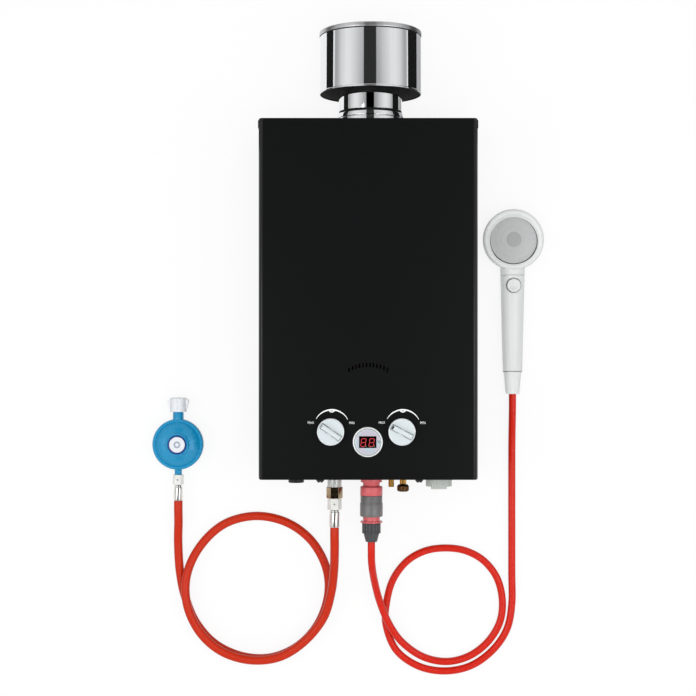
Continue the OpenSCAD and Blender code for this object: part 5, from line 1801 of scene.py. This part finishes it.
@dataclass
class Handset:
    """The spray face of the shower handset, its crescents of painted shadow and the cone nut's joint line."""

    # Radius of each ring of nozzles, in millimetres, and how many it has
    nozzle_rings: tuple[tuple[float, int], ...] = ((13.5, 8), (20.5, 14), (27.5, 20))
    segments: int = 144
    line_segments: int = 96

    def build(self) -> None:
        """Makes the spray face, the painted shadow round the button and the cone nut's joint line."""
        self.face(NodeBox.of("spray_face"))
        self.button_line(NodeBox.of("handset_button"))
        self.nut_line(NodeBox.of("hose_cone_nut"))

    def face(self, box: NodeBox) -> None:
        """Moulds the domed face with faint rings and a deeper middle.

        Args:
            box: The CAD face's box.
        """
        out = box.size.x / 2
        low, top = box.low.z, box.high.z
        axis = Vector((box.centre.x, box.centre.y, 0.0))
        brim = top - 1.6 * MM
        self.lip(axis, out, brim + 0.5 * MM)
        face = turned(
            "spray_face_moulding", axis, Axis.Z,
            [(0, low), (out, low), (out, brim - 0.6 * MM, 0.4 * MM), (out - 0.8 * MM, brim, 0.4 * MM),
             (out - 2.6 * MM, brim, 0.5 * MM), (out - 3.1 * MM, brim - 0.3 * MM, 0.3 * MM),
             (24.6 * MM, top - 1.5 * MM, 1 * MM), (24.0 * MM, top - 1.2 * MM, 0.5 * MM),
             (17.0 * MM, top - 1.0 * MM, 1 * MM), (16.4 * MM, top - 0.7 * MM, 0.5 * MM),
             (10.8 * MM, top - 0.6 * MM, 0.4 * MM), (10.3 * MM, top - 0.9 * MM, 0.4 * MM),
             (0, top - 0.9 * MM)],
            segments=self.segments,
        )
        dress(face, Dress.SPRAY_GREY, "case", "spray_grey", "spray_face")
        middle = turned(
            "spray_face_middle", axis, Axis.Z,
            [(0, top - 1.2 * MM), (10.2 * MM, top - 1.2 * MM), (10.2 * MM, top - 0.86 * MM),
             (6 * MM, top - 0.8 * MM, 1 * MM), (0, top - 0.78 * MM)],
            segments=self.line_segments,
        )
        dress(middle, Dress.DEEP_GREY, "case", "spray_grey")
        nozzles = []
        for radius, count in self.nozzle_rings:
            for k in range(count):
                turn = 2 * math.pi * k / count
                place = axis + Vector((math.cos(turn), math.sin(turn), 0.0)) * (radius * MM)
                tip = [(0, top - 1.8 * MM), (0.8 * MM, top - 1.8 * MM), (0.6 * MM, top - 0.75 * MM),
                       (0, top - 0.7 * MM)]
                nozzles.append(turned("nozzle", place, Axis.Z, tip, 0.1 * MM, 16))
        dress(joined("spray_nozzles", nozzles), Dress.SPRAY_GREY, "case", "spray_grey")

    def lip(self, axis: Vector, out: float, height: float) -> None:
        """Moulds the white lip, deeper at the top, and a crescent of painted shadow below it.

        Args:
            axis: The middle of the spray face.
            out: The face's radius.
            height: Height of the lip's inner edge.
        """
        mouth = axis + Vector((0.0, -1.5 * MM, 0.0))
        inside = out - 1.6 * MM
        for name, finish, hole, rim, rim_at, rise in (
            ("spray_face_lip", Dress.WHITE_ABS, inside, out + 1.5 * MM, axis, 0.0),
            ("spray_face_painted_shadow_crescent", Dress.JOINT_SHADOW_LINE, inside - 0.1 * MM, inside + 0.75 * MM,
             mouth + Vector((0.25 * MM, -0.75 * MM, 0.0)), 0.12 * MM),
        ):
            count = self.segments
            foot, head = height + rise - 1.2 * MM, height + rise
            rows = ((rim_at, rim, foot), (rim_at, rim, head), (mouth, hole, head), (mouth, hole, foot))
            points, faces = [], []
            for centre, radius, z in rows:
                for k in range(count):
                    turn = 2 * math.pi * k / count
                    points.append(
                        Vector((centre.x + radius * math.cos(turn), centre.y + radius * math.sin(turn), z))
                    )
            for row in range(4):
                for k in range(count):
                    a, b = row * count + k, row * count + (k + 1) % count
                    c, d = (b + count) % (4 * count), (a + count) % (4 * count)
                    faces.append((a, b, c, d))
            dress(piece_of(name, points, faces), finish, "case", "white_plastic")

    def nut_line(self, nut: NodeBox) -> None:
        """Draws the dark joint between the handle and the cone nut.

        Args:
            nut: The cone nut's box.
        """
        out = nut.size.x / 2 + 0.3 * MM
        line = band(
            "handle_joint_line", Vector((nut.centre.x, 0.0, nut.centre.z)), Axis.Y, (out - 1.2 * MM, out),
            (nut.high.y - 0.6 * MM, nut.high.y + 0.5 * MM), 0.1 * MM, self.line_segments,
        )
        dress(line, Dress.GREY_INK_AND_SHADE, "case", "white_plastic")

    def button_line(self, box: NodeBox) -> None:
        """Draws a crescent of painted shadow in the gap round the upper left of the button.

        Args:
            box: The button's box.
        """
        out = box.size.x / 2
        # Shifted up and to the left, so the painted shadow is a crescent on that side.
        axis = Vector((box.centre.x - 0.25 * MM, box.centre.y + 0.35 * MM, 0.0))
        line = band(
            "button_painted_shadow_line", axis, Axis.Z, (out + 0.55 * MM, out + 0.95 * MM),
            (box.high.z - 3.4 * MM, box.high.z - 2.1 * MM), 0.05 * MM, self.line_segments,
        )
        dress(line, Dress.JOINT_SHADOW_LINE, "case", "white_plastic")


# ------------------------------------------------------------------ fittings


@dataclass
class Fittings:
    """Small things on the fittings: the painted shade of sight holes, and the regulator's rings."""

    hole: float = 1.05 * MM
    mark_radii: tuple[float, float] = (2.4 * MM, 4.6 * MM)
    mark_segments: int = 64

    def build(self) -> list[bpy.types.Object]:
        """Makes the small pieces.

        Returns:
            Those that belong to the gas hose.
        """
        return [
            self.sight_hole("hose_swivel_nut"),
            self.sight_hole("regulator_swivel_nut"),
            self.navy_ring(NodeBox.of("regulator_cap")),
            self.pressed_mark(NodeBox.of("regulator_cap")),
        ]

    def sight_hole(self, nut: str) -> bpy.types.Object:
        """Paints the shade of the leak-test hole in a swivel nut's upper side, as a black plug.

        Args:
            nut: The nut's node, which is also its body.

        Returns:
            The hole's dark plug of painted shade.
        """
        box = NodeBox.of(nut)
        hole = turned(
            f"{nut}_hole", Vector((box.centre.x, box.centre.y, 0.0)), Axis.Z,
            [(0, box.high.z - 1.5 * MM), (self.hole, box.high.z - 1.5 * MM), (self.hole, box.high.z),
             (0, box.high.z)],
            corner=0.1 * MM, segments=24,
        )
        return dress(hole, Dress.BLACK_INK_AND_SHADE, nut, "nickel")

    def navy_ring(self, cap: NodeBox) -> bpy.types.Object:
        """Rings the white cap with navy enamel.

        Args:
            cap: The regulator cap's box.

        Returns:
            The ring.
        """
        inside, outside = cap.size.x / 2 + 0.1 * MM, cap.size.x / 2 + 1.8 * MM
        ring = turned(
            "regulator_navy_ring", Vector((cap.centre.x, cap.centre.y, 0.0)), Axis.Z,
            [(inside, cap.high.z - 1.1 * MM), (outside, cap.high.z - 1.1 * MM),
             (outside, cap.high.z, 0.3 * MM), (inside, cap.high.z + 0.1 * MM, 0.3 * MM)],
            ring=True, segments=96,
        )
        return dress(ring, Dress.NAVY_INK, "case", "blue_paint")

    def pressed_mark(self, cap: NodeBox) -> bpy.types.Object:
        """Prints a plain grey ring in the middle of the white cap.

        Args:
            cap: The regulator cap's box.

        Returns:
            The ring.
        """
        high = cap.high.z + 0.04 * MM
        mark = band(
            "regulator_pressed_mark", Vector((cap.centre.x, cap.centre.y, 0.0)), Axis.Z, self.mark_radii,
            (high - 0.5 * MM, high), 0.0, self.mark_segments,
        )
        return dress(mark, Dress.PALE_PRINT, "case", "white_plastic")


# ------------------------------------------------------------------ the rest of the heater


@dataclass
class CarriedNodes:
    """The CAD nodes whose shape is right, with the finish of each."""

    soft_edges: dict[str, float] = field(
        default_factory=lambda: {
            "front_cover": 0.5, "cover_screws": 0.3, "battery_cap": 0.4, "gas_inlet": 0.25,
            "gas_union_nut": 0.5, "cold_inlet": 0.5, "drain_valve": 0.25, "drain_knob": 0.3,
            "tap_adapter": 0.4, "coupler_body": 0.4, "release_sleeve": 0.35, "coupler_nut": 0.3,
            "hose_cone_nut": 0.4,
            "handset_handle": 0.4, "handset_button": 0.3, "head_shell": 0.4,
            "gas_hose_fittings": 0.3, "hose_swivel_nut": 0.6, "regulator_swivel_nut": 0.5,
            "regulator": 0.4, "regulator_cap": 0.3, "wing_nut": 0.5, "hot_outlet": 0.4,
        }
    )

    def finishes(self) -> dict[Finish, list[str]]:
        """Lists the nodes of each finish.

        Returns:
            Node names, by finish.
        """
        return {
            Dress.CASE: ["front_cover"],
            Dress.PLATE: ["back_plate", "bottom_plate", "top_plate"],
            Dress.BLACK_NYLON: [
                "cover_screws", "cold_inlet", "ignition_box", "micro_switch", "battery_box", "display_module",
            ],
            Dress.MILD_STEEL: ["flue_hood", "burner_bars"],
            Dress.COPPER: [
                "combustion_chamber", "exchanger_shell", "exchanger_fins", "exchanger_tubes", "water_coil",
                "cold_pipe", "hot_pipe",
            ],
            Dress.DIE_CAST: ["gas_manifold", "gas_valve"],
            Dress.CERAMIC: ["electrodes"],
            Dress.BRASS: [
                "gas_spindle", "water_spindle", "water_valve", "valve_cover", "hot_outlet", "drain_valve",
            ],
            Dress.DARK_BRASS: ["drain_knob"],
            Dress.TARNISHED_BRASS: ["gas_union_nut"],
            Dress.RUBBER: ["valve_diaphragm"],
            Dress.STEEL: ["push_rod", "gas_inlet"],
            Dress.SMOKED_WINDOW: ["display_window"],
            Dress.CELL_JACKET: ["battery_cells"],
            Dress.GREY_ABS: ["battery_cap"],
            Dress.RED_ANODISED: ["tap_adapter", "coupler_body"],
            Dress.CHARCOAL: ["release_sleeve"],
            Dress.DARK_NYLON: ["coupler_nut"],
            Dress.WHITE_ABS: ["handset_handle", "handset_button", "head_shell"],
            Dress.MATT_ABS: ["hose_cone_nut"],
            Dress.NICKEL: ["gas_hose_fittings"],
            Dress.ZINC: ["hose_swivel_nut", "regulator_swivel_nut"],
            Dress.BLUE_ENAMEL: ["regulator"],
            Dress.WHITE_NYLON: ["wing_nut", "regulator_cap"],
        }

    def build(self, nodes: dict[str, bpy.types.Object]) -> None:
        """Gives every listed node its finish and its soft edges.

        Args:
            nodes: The frame's node objects, by name.
        """
        for finish, names in self.finishes().items():
            for name in names:
                finish_node(nodes[name], finish, self.soft_edges.get(name, 0.0))


def main() -> None:
    """Builds the studio and every sub-assembly, in order."""
    logging.basicConfig(level=logging.INFO, format="%(name)s: %(message)s")
    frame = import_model()
    studio = Studio()
    studio.build()
    gas = Hose(
        "gas_hose_tube", "gas_hose", "case", "orange_hose", Dress.GAS_HOSE, 11.8 * MM, GAS_ROUTE,
        "fitting", "medium",
    )
    shower = Hose(
        "shower_hose_tube", "shower_hose", "case", "red_hose", Dress.SHOWER_HOSE, 10 * MM, SHOWER_ROUTE,
        "object", "medium",
    )
    gas_tube, shower_tube = gas.build(), shower.build()
    nodes = frame["nodes"]
    on_hose_trim = Fittings().build()
    gas.declare(gas_tube)
    shower.declare(shower_tube)
    CarriedNodes().build(nodes)
    Handset().build()
    handset = ("handset_handle", "handset_button", "head_shell", "hose_cone_nut")
    studio.fill_handset([nodes[name] for name in handset])
    Exhaust().build()
    ControlPanel().build({joint["name"]: joint for joint in frame["joints"]})


if __name__ == "__main__":
    main()
